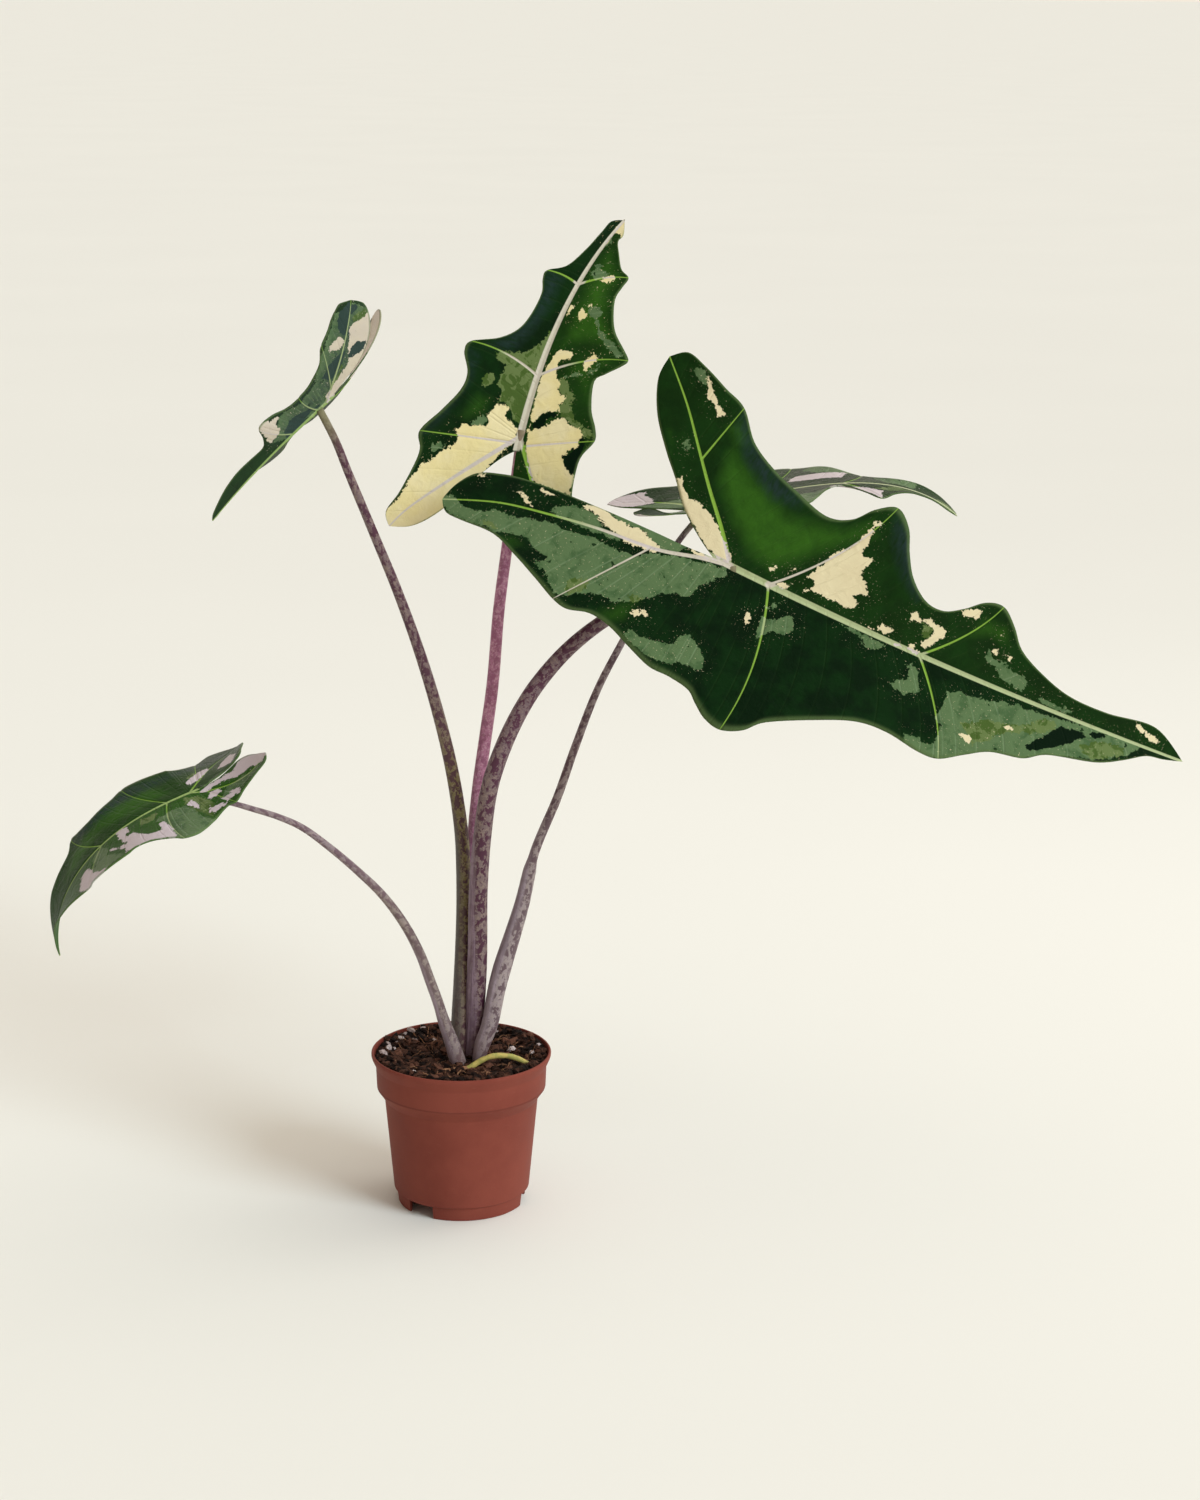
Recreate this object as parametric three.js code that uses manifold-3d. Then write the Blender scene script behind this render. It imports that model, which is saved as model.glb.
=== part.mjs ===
// Potted sarian alocasia: five arrow-shaped leaves with waved edges on slim petioles,
// growing from one corm in a 12 cm nursery pot filled with soil.
// Millimetres, +Z up. The origin is on the floor under the middle of the pot, +X points
// towards the large leaf's tip and -Y towards the viewer.
import * as THREE from "three";
import { mergeVertices } from "three/addons/utils/BufferGeometryUtils.js";
import Module from "manifold-3d";

const wasm = await Module();
wasm.setup();

const GAP = 0.3;

// Pot: radii and heights of its outer and inner walls, from the floor up.
const POT = {
  segments: 40,
  padRadius: 26,
  channelRadius: 29,
  channelHeight: 8,
  floorThickness: 1.4,
  wallThickness: 1.2,
  outer: [[41, 0], [42.6, 0], [43.6, 9], [45.4, 10], [51.3, 73], [54.2, 77.5], [56.4, 80.5],
    [57, 95.5], [59.3, 100.5], [60, 102.5], [60, 104.2], [59.5, 104.8]],
  inner: [[58.5, 104.8], [57.9, 101.5], [55.7, 96], [55.1, 81.5], [52.7, 78.2], [49.9, 73.5]],
  innerFoot: [43.6, 9.4],
  notch: { count: 3, width: 20, height: 8.6, depth: 10, ring: 43, first: -37 },
  drain: { count: 6, radius: 3, ring: 35, depth: 6 },
};

// Soil: its level at the rim and in the middle, the height of its bumps, the room left at
// the wall and over the raised floor, and the radii of the rings that its top is made of.
const SOIL = {
  edgeLevel: 94,
  level: 97.5,
  bump: 1.6,
  wallGap: 0.4,
  floorGap: 1.6,
  rings: [50, 43, 36, 29, 22, 15, 8],
};

// Corm that the petioles grow from, hidden in the soil. Fullness under 1 rounds it out.
const CORM = { centre: [5, 1], radius: 13, bottom: 60, top: 87, fullness: 0.7, steps: 6, segments: 12 };

// Blade thickness at the edge, and the ribs' extra height at their roots. The midrib is
// given in millimetres of width, and at most as a share of the half blade; a vein's width
// and the bow that carries it towards the tip are shares of its section and its length.
const BLADE = {
  thickness: 0.9,
  midribHeight: 1.7,
  veinHeight: 0.9,
  midribWidth: 3,
  midribShare: 0.3,
  veinWidth: 0.08,
  veinBow: 0.28,
  tipTaper: 0.75,
};

// How a leaf's bends build up: their power, and how far past its ends they go on.
const BEND = { power: 1.3, limit: 1.3 };

// Where a petiole ends, as seen from its leaf's seat: below the blade and ahead of it.
const SEAT = { below: 1.2, ahead: 5 };

// Where a leaf's raised veins meet the edge, the outline is marked. Each outline runs from
// the tip (length, 0) to the end of the basal lobe, as [along, across] points in the blade's
// own plane, with 0 along at the petiole. "marks" are the outline points that face the
// second vein, the first vein, the petiole, the lobe's side vein and the lobe's end.
const UPRIGHT_LEFT = {
  outline: [[164, 0], [157, 6], [146, 6], [131, 7], [115, 12], [106, 22], [100, 22], [91, 18],
    [76, 18], [64, 22], [55, 32], [48, 48], [41, 50], [30, 44], [19, 45], [5, 53], [-12, 64],
    [-23, 61], [-34, 62], [-53, 67], [-67, 73], [-76, 69]],
  marks: [5, 11, 14, 16, 21],
  costa: [[0, 0], [-28, 28], [-60, 58], [-76, 69]],
  sideVein: 0.06,
  inner: [[-76, 69], [-72, 54], [-59, 39], [-40, 26], [-27, 17], [-16, 8], [-9, 0]],
};
const UPRIGHT_RIGHT = {
  outline: [[164, 0], [158, 4], [152, 7], [146, 7], [138, 13], [130, 20], [127, 27], [119, 27],
    [109, 27], [96, 32], [86, 38], [77, 48], [71, 53], [65, 50], [56, 42], [49, 37], [30, 41],
    [18, 47], [9, 49], [-3, 43], [-13, 42], [-27, 43], [-43, 47], [-60, 52], [-76, 52], [-86, 44]],
  marks: [6, 12, 16, 18, 25],
  costa: [[0, 0], [-26, 15], [-55, 31], [-86, 44]],
  sideVein: 0.06,
  inner: [[-86, 44], [-82, 33], [-70, 24], [-55, 14], [-40, 7], [-26, 2], [-9, 0]],
};
const LARGE_LEFT = {
  outline: [[318, 0], [291, 14], [256, 11], [229, 12], [207, 19], [190, 28], [180, 40], [169, 49],
    [157, 47], [146, 38], [134, 31], [121, 32], [108, 42], [99, 56], [92, 70], [80, 79], [67, 72],
    [56, 60], [40, 55], [16, 61], [-3, 67], [-22, 77], [-38, 94], [-54, 100], [-72, 107],
    [-86, 111], [-96, 104]],
  marks: [7, 15, 18, 22, 26],
  costa: [[0, 0], [-15, 18], [-34, 38], [-50, 56], [-72, 81], [-96, 104]],
  sideVein: 0.5,
  inner: [[-96, 104], [-96, 88], [-86, 67], [-70, 48], [-57, 35], [-42, 19], [-25, 7], [-12, 0]],
};
const LARGE_RIGHT = {
  outline: [[318, 0], [304, 3], [291, 5], [276, 13], [258, 21], [227, 28], [213, 36], [193, 40],
    [179, 48], [165, 57], [152, 58], [131, 55], [112, 57], [90, 67], [64, 82], [54, 93], [42, 99],
    [31, 97], [22, 91], [14, 85], [0, 83], [-14, 83], [-32, 77], [-48, 71], [-63, 69], [-77, 73],
    [-88, 71], [-104, 64], [-123, 56], [-143, 49], [-167, 49], [-180, 48], [-187, 41]],
  marks: [9, 16, 20, 26, 32],
  costa: [[0, 0], [-19, 4], [-47, 12], [-85, 16], [-117, 21], [-152, 28], [-187, 41]],
  sideVein: 0.27,
  inner: [[-187, 41], [-184, 28], [-176, 16], [-162, 10], [-142, 6], [-100, 3.5], [-55, 2],
    [-30, 1.5], [-12, 0]],
};
const LOW_LEFT = {
  outline: [[147, 0], [138, 4], [126, 12], [112, 27], [102, 34], [87, 45], [82, 42], [68, 46],
    [58, 47], [52, 44], [42, 45], [31, 51], [26, 56], [18, 56], [10, 51], [-1, 42], [-10, 37],
    [-15, 39], [-23, 36], [-34, 37], [-43, 38], [-48, 32]],
  marks: [5, 12, 15, 17, 21],
  costa: [[0, 0], [-14, 11], [-31, 24], [-48, 32]],
  sideVein: 0.2,
  inner: [[-48, 32], [-46, 22], [-43, 9], [-36, 1.5], [-20, 1.5], [-8, 0]],
};
const LOW_RIGHT = {
  outline: [[147, 0], [140, 6], [129, 14], [115, 22], [104, 24], [87, 30], [79, 42], [72, 40],
    [62, 37], [53, 38], [42, 42], [31, 48], [19, 47], [8, 44], [-3, 41], [-13, 43], [-24, 48],
    [-34, 57], [-40, 62], [-46, 57], [-51, 44]],
  marks: [6, 11, 14, 16, 20],
  costa: [[0, 0], [-14, 14], [-33, 32], [-51, 44]],
  sideVein: 0.2,
  inner: [[-51, 44], [-53, 31], [-48, 15], [-41, 3], [-20, 1.5], [-8, 0]],
};
const UPPER_LEFT = {
  outline: [[104, 0], [99, 4], [86, 8], [72, 9], [58, 8], [48, 9], [44, 18], [42, 30],
    [37, 31], [30, 26], [22, 22], [11, 24], [4, 25], [-3, 28], [-14, 34], [-24, 45], [-40, 46],
    [-53, 48], [-61, 49], [-68, 42]],
  marks: [7, 11, 13, 15, 19],
  costa: [[0, 0], [-20, 16], [-44, 31], [-68, 42]],
  sideVein: 0.15,
  inner: [[-68, 42], [-70, 27], [-58, 12], [-40, 4], [-20, 2], [-8, 0]],
};
const UPPER_RIGHT = {
  outline: [[104, 0], [100, 7], [94, 9], [85, 9], [75, 13], [60, 22], [50, 28], [42, 31],
    [36, 33], [25, 28], [17, 24], [10, 25], [4, 28], [-8, 36], [-20, 43], [-30, 44], [-42, 46],
    [-56, 50], [-64, 50], [-70, 44]],
  marks: [7, 11, 12, 14, 19],
  costa: [[0, 0], [-20, 15], [-44, 31], [-70, 44]],
  sideVein: 0.15,
  inner: [[-70, 44], [-73, 28], [-62, 12], [-42, 5], [-20, 2], [-8, 0]],
};
const BACK_LEFT = {
  outline: [[180, 0], [174, 7], [164, 13], [152, 15], [140, 15], [126, 19], [113, 28], [95, 44],
    [80, 56], [64, 64], [52, 65], [35, 60], [15, 57], [-12, 60], [-38, 62], [-48, 60], [-53, 54]],
  marks: [6, 9, 12, 13, 16],
  costa: [[0, 0], [-18, 22], [-38, 43], [-53, 54]],
  sideVein: 0.15,
  inner: [[-53, 54], [-48, 40], [-37, 27], [-22, 13], [-8, 0]],
};
const BACK_RIGHT = {
  outline: [[180, 0], [172, 4], [160, 7], [150, 11], [140, 14], [130, 20], [120, 31], [110, 24],
    [97, 16], [86, 28], [78, 46], [72, 59], [60, 60], [38, 52], [15, 54], [-11, 62], [-27, 63],
    [-41, 62], [-53, 54]],
  marks: [6, 11, 14, 15, 18],
  costa: [[0, 0], [-18, 22], [-38, 43], [-53, 54]],
  sideVein: 0.15,
  inner: [[-53, 54], [-48, 40], [-37, 27], [-22, 13], [-8, 0]],
};

// Petioles: points from the corm to the blade, and [share of the length, radius] pairs.
// Leaves: seat is where the petiole meets the blade, toward the midrib's direction there,
// face the way the upper side looks. Droop, sweep and twist are degrees gained by the tip
// (or by the lobes), late is how far towards the tip the droop is put off, fold is the
// halves' lift at the lobes, the seat and the tip, and ruffle is how far the edge rises
// between two veins.
const LEAVES = {
  large: {
    seat: [171.7, -40, 442.4], toward: [0.886, -0.244, -0.395], face: [-0.05, -0.9, 0.44],
    length: 318, back: 180, droop: 28, droopBack: 14, late: 1.6, sweep: -13.7, sweepBack: 0,
    twist: 0, twistBack: 0, foldLeft: [6, 6, 4], foldRight: [6, 6, 4], ruffle: 3,
    veins: [131, 27],
    left: LARGE_LEFT, right: LARGE_RIGHT, columns: [8, 7, 4, 5, 5], rows: 5,
    petiole: [[6, 5, 80], [6.5, 5, 97], [8.5, 3, 120], [11, -3, 168], [12, -8, 220],
      [15, -12, 259], [20, -15, 292], [30, -18, 322], [42, -20, 347], [53, -21, 364],
      [70, -22, 384], [91, -24, 402], [122, -27, 421], [152, -31, 436]],
    radii: [[0, 4.5], [0.03, 5.5], [0.09, 6.5], [0.2, 6.6], [0.5, 5.6], [0.8, 4.4], [1, 3]],
  },
  left_upper: {
    seat: [-87.5, 20, 534.8], toward: [-0.719, -0.224, -0.658], face: [-0.689, 0.36, 0.63],
    length: 104, back: 80, droop: 6, droopBack: -28, late: 1.6, sweep: 8, sweepBack: -14,
    twist: 0, twistBack: 2, foldLeft: [19, 14, 12], foldRight: [30, 14, 12], ruffle: 3,
    veins: [28, 6],
    left: UPPER_LEFT, right: UPPER_RIGHT, columns: [5, 5, 3, 2, 4], rows: 4,
    petiole: [[1, 4, 82], [-1, 3.5, 97], [-1.5, 3, 115], [0, 3, 149], [1.5, 4, 190],
      [1.5, 5, 225], [0, 5.5, 256], [-6, 7, 296], [-15.5, 9, 336], [-27.5, 11, 376],
      [-41.5, 13.5, 415], [-57, 16, 453], [-73, 18, 492], [-80.5, 19, 511]],
    radii: [[0, 5], [0.05, 5.6], [0.35, 4.7], [0.7, 3.3], [1, 2.4]],
  },
  back: {
    seat: [155.8, 90, 457.3], toward: [0.955, -0.164, 0.248], face: [-0.201, 0.259, 0.945],
    length: 180, back: 70, droop: 52, droopBack: -4, late: 3, sweep: -28, sweepBack: 30,
    twist: 9, twistBack: 5, foldLeft: [13, 23, -2], foldRight: [8, -7, -18], ruffle: 3,
    veins: [97, 35],
    left: BACK_LEFT, right: BACK_RIGHT, columns: [5, 5, 3, 2, 4], rows: 4,
    petiole: [[10, -2, 80], [11.5, -5, 97], [14, -6, 110], [19, -5, 124], [24, -2, 150],
      [28, 2, 165], [34, 7, 184], [40, 12, 204], [48, 19, 237], [63, 28, 273],
      [74, 36, 304], [89, 47, 342], [105, 57, 372], [141, 82, 434]],
    radii: [[0, 3], [0.04, 4], [0.08, 5.4], [0.2, 6.2], [0.36, 4.4], [0.38, 3.2], [0.7, 2.4],
      [1, 1.9]],
  },
  upright: {
    seat: [37.4, 40, 511.2], toward: [0.239, 0.2, 0.95], face: [-0.09, -0.97, 0.227],
    length: 164.5, back: 95, droop: 28, droopBack: 12, late: 1.6, sweep: 23.8, sweepBack: 0,
    twist: 0, twistBack: 0, foldLeft: [6, 8, 4], foldRight: [6, 8, 4], ruffle: 2.5,
    veins: [107, 41],
    left: UPRIGHT_LEFT, right: UPRIGHT_RIGHT, columns: [5, 5, 3, 2, 4], rows: 4,
    petiole: [[5, 5, 80], [4.5, 9, 97], [4.5, 11.5, 115], [5, 14, 171], [6, 16, 212], [8, 18, 250],
      [11, 20, 282], [15, 23, 312], [20, 27, 349], [24, 32, 398], [29, 38, 438], [34, 44, 477]],
    radii: [[0, 4.6], [0.05, 5], [0.4, 4.4], [1, 3.4]],
  },
  low: {
    seat: [-171.6, -40, 291.7], toward: [-0.849, -0.447, -0.283], face: [-0.216, -0.196, 0.956],
    length: 147, back: 70, droop: 86, droopBack: -58, late: 1.6, sweep: 7, sweepBack: 19,
    twist: 19, twistBack: 32, foldLeft: [-21, -6, 7], foldRight: [1, 3, 8], ruffle: 2,
    veins: [66, 16],
    left: LOW_LEFT, right: LOW_RIGHT, columns: [5, 5, 3, 2, 4], rows: 4,
    petiole: [[0, -4, 80], [-1.5, -8, 97], [-3.5, -10, 106], [-6.5, -10.5, 116], [-11, -11, 129],
      [-15, -11.5, 143], [-20, -12.5, 158], [-26, -14, 176], [-36, -16, 197], [-50, -19, 218],
      [-65, -21, 234], [-83, -24, 251], [-101, -28, 266], [-115, -31, 273.5],
      [-131, -34, 279.5], [-150, -37, 285.5]],
    radii: [[0, 5], [0.06, 5.6], [0.2, 3.6], [0.6, 2.5], [1, 1.5]],
  },
};

// The root that arches over the soil beside the petioles.
const ROOT = {
  points: [[-3, -21, 92], [2, -21.5, 98], [8.1, -20.5, 101], [13.3, -19, 104], [18, -18, 106],
    [23, -17, 107], [31, -14, 106], [38, -11, 103], [44, -10, 99.5], [49, -9, 95], [50, -9, 90]],
  radii: [[0, 1.5], [0.3, 1.9], [0.8, 1.8], [1, 1.4]],
};

const material = (color, roughness) =>
  new THREE.MeshStandardMaterial({ color, roughness, metalness: 0 });
const MATERIALS = {
  terracottaPlastic: material(0x8a4434, 0.55),
  soil: material(0x33241a, 0.95),
  corm: material(0x6b5138, 0.9),
  petiole: material(0x7c6670, 0.5),
  leaf: material(0x1f4a26, 0.4),
  root: material(0xa9a05a, 0.6),
};

// Closed geometry to and from the solid that is cut.
function toSolid(geometry) {
  const bare = geometry.clone();
  bare.deleteAttribute("normal");
  bare.deleteAttribute("uv");
  const merged = mergeVertices(bare, 1e-4);
  return new wasm.Manifold(new wasm.Mesh({
    numProp: 3,
    vertProperties: new Float32Array(merged.attributes.position.array),
    triVerts: new Uint32Array(merged.index.array),
  }));
}

function toGeometry(solid) {
  const mesh = solid.getMesh();
  const geometry = new THREE.BufferGeometry();
  geometry.setAttribute("position", new THREE.BufferAttribute(new Float32Array(mesh.vertProperties), 3));
  geometry.setIndex(new THREE.BufferAttribute(new Uint32Array(mesh.triVerts), 1));
  geometry.computeVertexNormals();
  return geometry;
}

function largestPiece(solid) {
  const pieces = solid.decompose();
  return pieces.reduce((best, piece) => (piece.volume() > best.volume() ? piece : best));
}

function lathe(profile) {
  const points = profile.map(([radius, height]) => new THREE.Vector2(radius, height));
  return new THREE.LatheGeometry(points, POT.segments).rotateX(Math.PI / 2);
}

// Value of a list of [position, value] pairs at a position.
function lookUp(pairs, position) {
  const next = pairs.findIndex(([start]) => start >= position);
  if (next <= 0) return next === 0 ? pairs[0][1] : pairs[pairs.length - 1][1];
  const [x0, y0] = pairs[next - 1];
  const [x1, y1] = pairs[next];
  return y0 + ((y1 - y0) * (position - x0)) / (x1 - x0);
}

// Tapered stalk round a smooth curve, closed by a fan at each end.
function stalk(points, radii, { sides = 8, step = 14, extra = 0 } = {}) {
  const curve = new THREE.CatmullRomCurve3(points.map((p) => new THREE.Vector3(...p)), false, "centripetal");
  const steps = Math.round(curve.getLength() / step);
  const frames = curve.computeFrenetFrames(steps, false);
  const positions = [];
  const index = [];
  for (let i = 0; i <= steps; i += 1) {
    const share = i / steps;
    const centre = curve.getPointAt(share);
    const radius = lookUp(radii, share) + extra;
    for (let k = 0; k < sides; k += 1) {
      const angle = (2 * Math.PI * k) / sides;
      const spoke = frames.normals[i].clone().multiplyScalar(Math.cos(angle))
        .addScaledVector(frames.binormals[i], Math.sin(angle));
      positions.push(...centre.clone().addScaledVector(spoke, radius).toArray());
      if (i === steps) continue;
      const here = i * sides + k;
      const beside = i * sides + ((k + 1) % sides);
      index.push(here, beside, here + sides, beside, beside + sides, here + sides);
    }
  }
  const first = positions.length / 3;
  positions.push(...curve.getPointAt(0).toArray(), ...curve.getPointAt(1).toArray());
  for (let k = 0; k < sides; k += 1) {
    const beside = (k + 1) % sides;
    index.push(first, beside, k, first + 1, steps * sides + k, steps * sides + beside);
  }
  const geometry = new THREE.BufferGeometry();
  geometry.setAttribute("position", new THREE.Float32BufferAttribute(positions, 3));
  geometry.setIndex(index);
  return geometry;
}

// Points at even shares of the length of a smooth line through the given points.
function spread(points, count) {
  const [start, end] = points;
  if (points.length === 2) {
    const between = (share) => start.map((value, axis) => value + (end[axis] - value) * share);
    return Array.from({ length: count + 1 }, (_, k) => between(k / count));
  }
  const curve = new THREE.SplineCurve(points.map((p) => new THREE.Vector2(...p)));
  return curve.getSpacedPoints(count).map((p) => [p.x, p.y]);
}

// The same with a short first and last step, which keeps a raised vein narrow.
function spreadBesideVeins(points, count) {
  const curve = new THREE.SplineCurve(points.map((p) => new THREE.Vector2(...p)));
  const edge = BLADE.veinWidth;
  return Array.from({ length: count + 1 }, (_, k) => {
    let share = (k - 1) / (count - 2);
    share = edge + (1 - 2 * edge) * share;
    if (k === 0) share = 0;
    if (k === count) share = 1;
    const p = curve.getPointAt(share);
    return [p.x, p.y];
  });
}

// Steps that a basal lobe's rib, the costa, is measured in.
const COSTA_STEPS = 60;

// Bent midrib line of a leaf, and the surface that the blade follows.
class LeafSurface {
  constructor(leaf) {
    this.leaf = leaf;
    this.seat = new THREE.Vector3(...leaf.seat);
    this.along = new THREE.Vector3(...leaf.toward).normalize();
    this.up = new THREE.Vector3(...leaf.face);
    this.up.addScaledVector(this.along, -this.up.dot(this.along)).normalize();
    this.across = new THREE.Vector3().crossVectors(this.along, this.up);
    this.forward = this.trace(leaf.length * BEND.limit, 1);
    this.backward = this.trace(leaf.back * BEND.limit, -1);
  }

  // Angles at a place along the midrib: droop, sweep and twist, in radians.
  angles(a) {
    const { length, back, droop, droopBack, late, sweep, sweepBack, twist, twistBack } = this.leaf;
    const front = Math.min(Math.max(a / length, 0), BEND.limit);
    const rear = Math.min(Math.max(-a / back, 0), BEND.limit);
    const turn = THREE.MathUtils.degToRad;
    return [turn(droop) * front ** late + turn(droopBack) * rear ** BEND.power,
      turn(sweep) * front ** BEND.power + turn(sweepBack) * rear ** BEND.power,
      turn(twist) * front + turn(twistBack) * rear];
  }

  // Midrib points one millimetre apart, ahead of the seat (1) or behind it (-1).
  trace(reach, way) {
    const points = [new THREE.Vector3()];
    for (let k = 0; k < reach; k += 1) {
      const [droop, sweep] = this.angles(way * (k + 0.5));
      const step = new THREE.Vector3(way * Math.cos(droop) * Math.cos(sweep), -Math.sin(droop),
        Math.cos(droop) * Math.sin(sweep));
      points.push(points[k].clone().add(step));
    }
    return points;
  }

  // Point of the blade's middle surface at a along and b across, lifted by a ruffle.
  point(a, b, lift = 0) {
    const { length, back, foldLeft, foldRight } = this.leaf;
    const [foldBack, foldSeat, foldTip] = b > 0 ? foldRight : foldLeft;
    const way = a >= 0 ? 1 : -1;
    const line = a >= 0 ? this.forward : this.backward;
    const whole = Math.min(Math.floor(Math.abs(a)), line.length - 2);
    const middle = line[whole].clone().lerp(line[whole + 1], Math.abs(a) - whole);
    const [droop, sweep, twist] = this.angles(a);
    const tangent = new THREE.Vector3(Math.cos(droop) * Math.cos(sweep), -Math.sin(droop) * way,
      Math.cos(droop) * Math.sin(sweep) * way);
    const flat = new THREE.Vector3(Math.sin(droop) * way, Math.cos(droop), 0);
    flat.addScaledVector(tangent, -flat.dot(tangent)).normalize();
    const side = new THREE.Vector3().crossVectors(tangent, flat);
    const normal = flat.clone().multiplyScalar(Math.cos(twist)).addScaledVector(side, Math.sin(twist));
    const right = side.multiplyScalar(Math.cos(twist)).addScaledVector(flat, -Math.sin(twist));
    const reach = Math.min(Math.abs(a) / (a >= 0 ? length : back), 1);
    const fold = THREE.MathUtils.degToRad(foldSeat + ((a >= 0 ? foldTip : foldBack) - foldSeat) * reach);
    middle.addScaledVector(right, b * Math.cos(fold));
    middle.addScaledVector(normal, Math.abs(b) * Math.sin(fold) + lift);
    return this.seat.clone().addScaledVector(this.along, middle.x)
      .addScaledVector(this.up, middle.y).addScaledVector(this.across, middle.z);
  }
}

// Columns of one half of a blade: each runs from the midrib or the lobe's rib to the edge.
// vein marks a column that carries a raised vein, and lift how much its edge is ruffled.
function halfColumns(leaf, half) {
  const { veins, length, columns } = leaf;
  const [first, second, third, fourth, fifth] = half.marks;
  const costa = spread(half.costa, COSTA_STEPS);
  const branch = Math.max(1, Math.round(COSTA_STEPS * half.sideVein));
  const roots = [[[length, 0], [veins[0], 0]], [[veins[0], 0], [veins[1], 0]], [[veins[1], 0], [0, 0]],
    costa.slice(0, branch + 1), costa.slice(branch)];
  const ends = [[0, first], [first, second], [second, third], [third, fourth], [fourth, fifth]];
  const outer = [];
  const costaRoots = [];
  roots.forEach((line, section) => {
    const [start, end] = ends[section];
    const count = columns[section];
    const beside = count > 3 && section < 2;
    const spacing = beside ? spreadBesideVeins : spread;
    const root = spacing(line, count);
    const tip = spacing(half.outline.slice(start, end + 1), count);
    for (let k = section === 0 ? 0 : 1; k <= count; k += 1) {
      const vein = k === count && section !== 2 && section !== 4;
      const lift = section === 2 || section === 3
        ? 0 : Math.sin((Math.PI * k) / count) ** 2;
      outer.push({ root: root[k], tip: tip[k], vein, lift, bend: section < 2 ? BLADE.veinBow : 0 });
    }
    if (section > 2) costaRoots.push(...root.slice(section === 3 ? 0 : 1));
  });
  const back = costaRoots.reverse();
  const innerEdge = spread(half.inner, back.length - 1);
  const inner = back.map((root, k) => ({ root, tip: innerEdge[k], vein: false, lift: 0, bend: 0 }));
  return { outer, inner };
}

// Blade as a closed shell: the same triangles on its upper and its under side, thicker
// along the midrib, the lobes' ribs and the veins, which stand out below.
function blade(leaf, extra = 0) {
  const surface = new LeafSurface(leaf);
  const vertices = [];
  const places = new Map();
  const addVertex = (a, b, lift, rib) => {
    const key = `${a.toFixed(3)},${b.toFixed(3)}`;
    if (!places.has(key)) {
      places.set(key, vertices.length);
      vertices.push({ position: surface.point(a, b, lift), rib, normal: new THREE.Vector3() });
    }
    const found = places.get(key);
    vertices[found].rib = Math.max(vertices[found].rib, rib);
    return found;
  };
  const triangles = [];
  const addTriangle = (a, b, c) => {
    if (a !== b && b !== c && a !== c) triangles.push([a, b, c]);
  };
  const fill = (columns, side, flip) => {
    const grid = columns.map(({ root, tip, vein, lift, bend }) => {
      const reach = Math.hypot(tip[0] - root[0], tip[1] - root[1]);
      const narrow = Math.min(BLADE.midribShare, BLADE.midribWidth / Math.max(reach, 1));
      return Array.from({ length: leaf.rows + 1 }, (_, row) => {
        const share = row === 0 ? 0 : narrow + ((1 - narrow) * (row - 1)) / (leaf.rows - 1);
        const bow = bend * reach * share * (1 - share);
        const a = root[0] + (tip[0] - root[0]) * share + bow;
        const b = side * (root[1] + (tip[1] - root[1]) * share);
        const taper = 1 - BLADE.tipTaper * Math.min(Math.abs(a) / leaf.length, 1);
        const veinRib = vein ? BLADE.veinHeight * taper * (1 - share) : 0;
        const rib = row === 0 ? BLADE.midribHeight * taper : veinRib;
        return addVertex(a, b, leaf.ruffle * lift * share * share, rib);
      });
    });
    for (let k = 0; k + 1 < grid.length; k += 1) {
      for (let row = 0; row < leaf.rows; row += 1) {
        const [p, q, r, s] = [grid[k][row], grid[k][row + 1], grid[k + 1][row + 1], grid[k + 1][row]];
        if (flip) {
          addTriangle(p, r, q);
          addTriangle(p, s, r);
        } else {
          addTriangle(p, q, r);
          addTriangle(p, r, s);
        }
      }
    }
  };
  [[leaf.left, -1], [leaf.right, 1]].forEach(([half, side]) => {
    const { outer, inner } = halfColumns(leaf, half);
    fill(outer, side, side < 0);
    fill(inner, side, side < 0);
  });
  return shell(vertices, triangles, extra);
}

// Doubles a surface into a closed shell along its vertex normals.
function shell(vertices, triangles, extra) {
  triangles.forEach(([a, b, c]) => {
    const [p, q, r] = [a, b, c].map((k) => vertices[k].position);
    const normal = new THREE.Vector3().crossVectors(q.clone().sub(p), r.clone().sub(p));
    [a, b, c].forEach((k) => vertices[k].normal.add(normal));
  });
  const count = vertices.length;
  const positions = [];
  vertices.forEach(({ position, normal }) => {
    normal.normalize();
    positions.push(...position.clone().addScaledVector(normal, BLADE.thickness / 2 + extra).toArray());
  });
  vertices.forEach(({ position, normal, rib }) => {
    const depth = BLADE.thickness / 2 + extra + rib;
    positions.push(...position.clone().addScaledVector(normal, -depth).toArray());
  });
  const index = [];
  const edges = new Map();
  triangles.forEach(([a, b, c]) => {
    index.push(a, b, c, a + count, c + count, b + count);
    [[a, b], [b, c], [c, a]].forEach(([from, to]) => {
      if (edges.has(`${to},${from}`)) edges.delete(`${to},${from}`);
      else edges.set(`${from},${to}`, [from, to]);
    });
  });
  edges.forEach(([from, to]) => index.push(from, from + count, to + count, from, to + count, to));
  const geometry = new THREE.BufferGeometry();
  geometry.setAttribute("position", new THREE.Float32BufferAttribute(positions, 3));
  geometry.setIndex(index);
  return geometry;
}

// Petiole of a leaf: its last stretch runs under the blade's midrib.
function petiole(leaf, extra = 0) {
  const surface = new LeafSurface(leaf);
  const under = surface.seat.clone().addScaledVector(surface.up, -SEAT.below)
    .addScaledVector(surface.along, SEAT.ahead);
  return stalk([...leaf.petiole, under.toArray()], leaf.radii, { extra });
}

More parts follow.
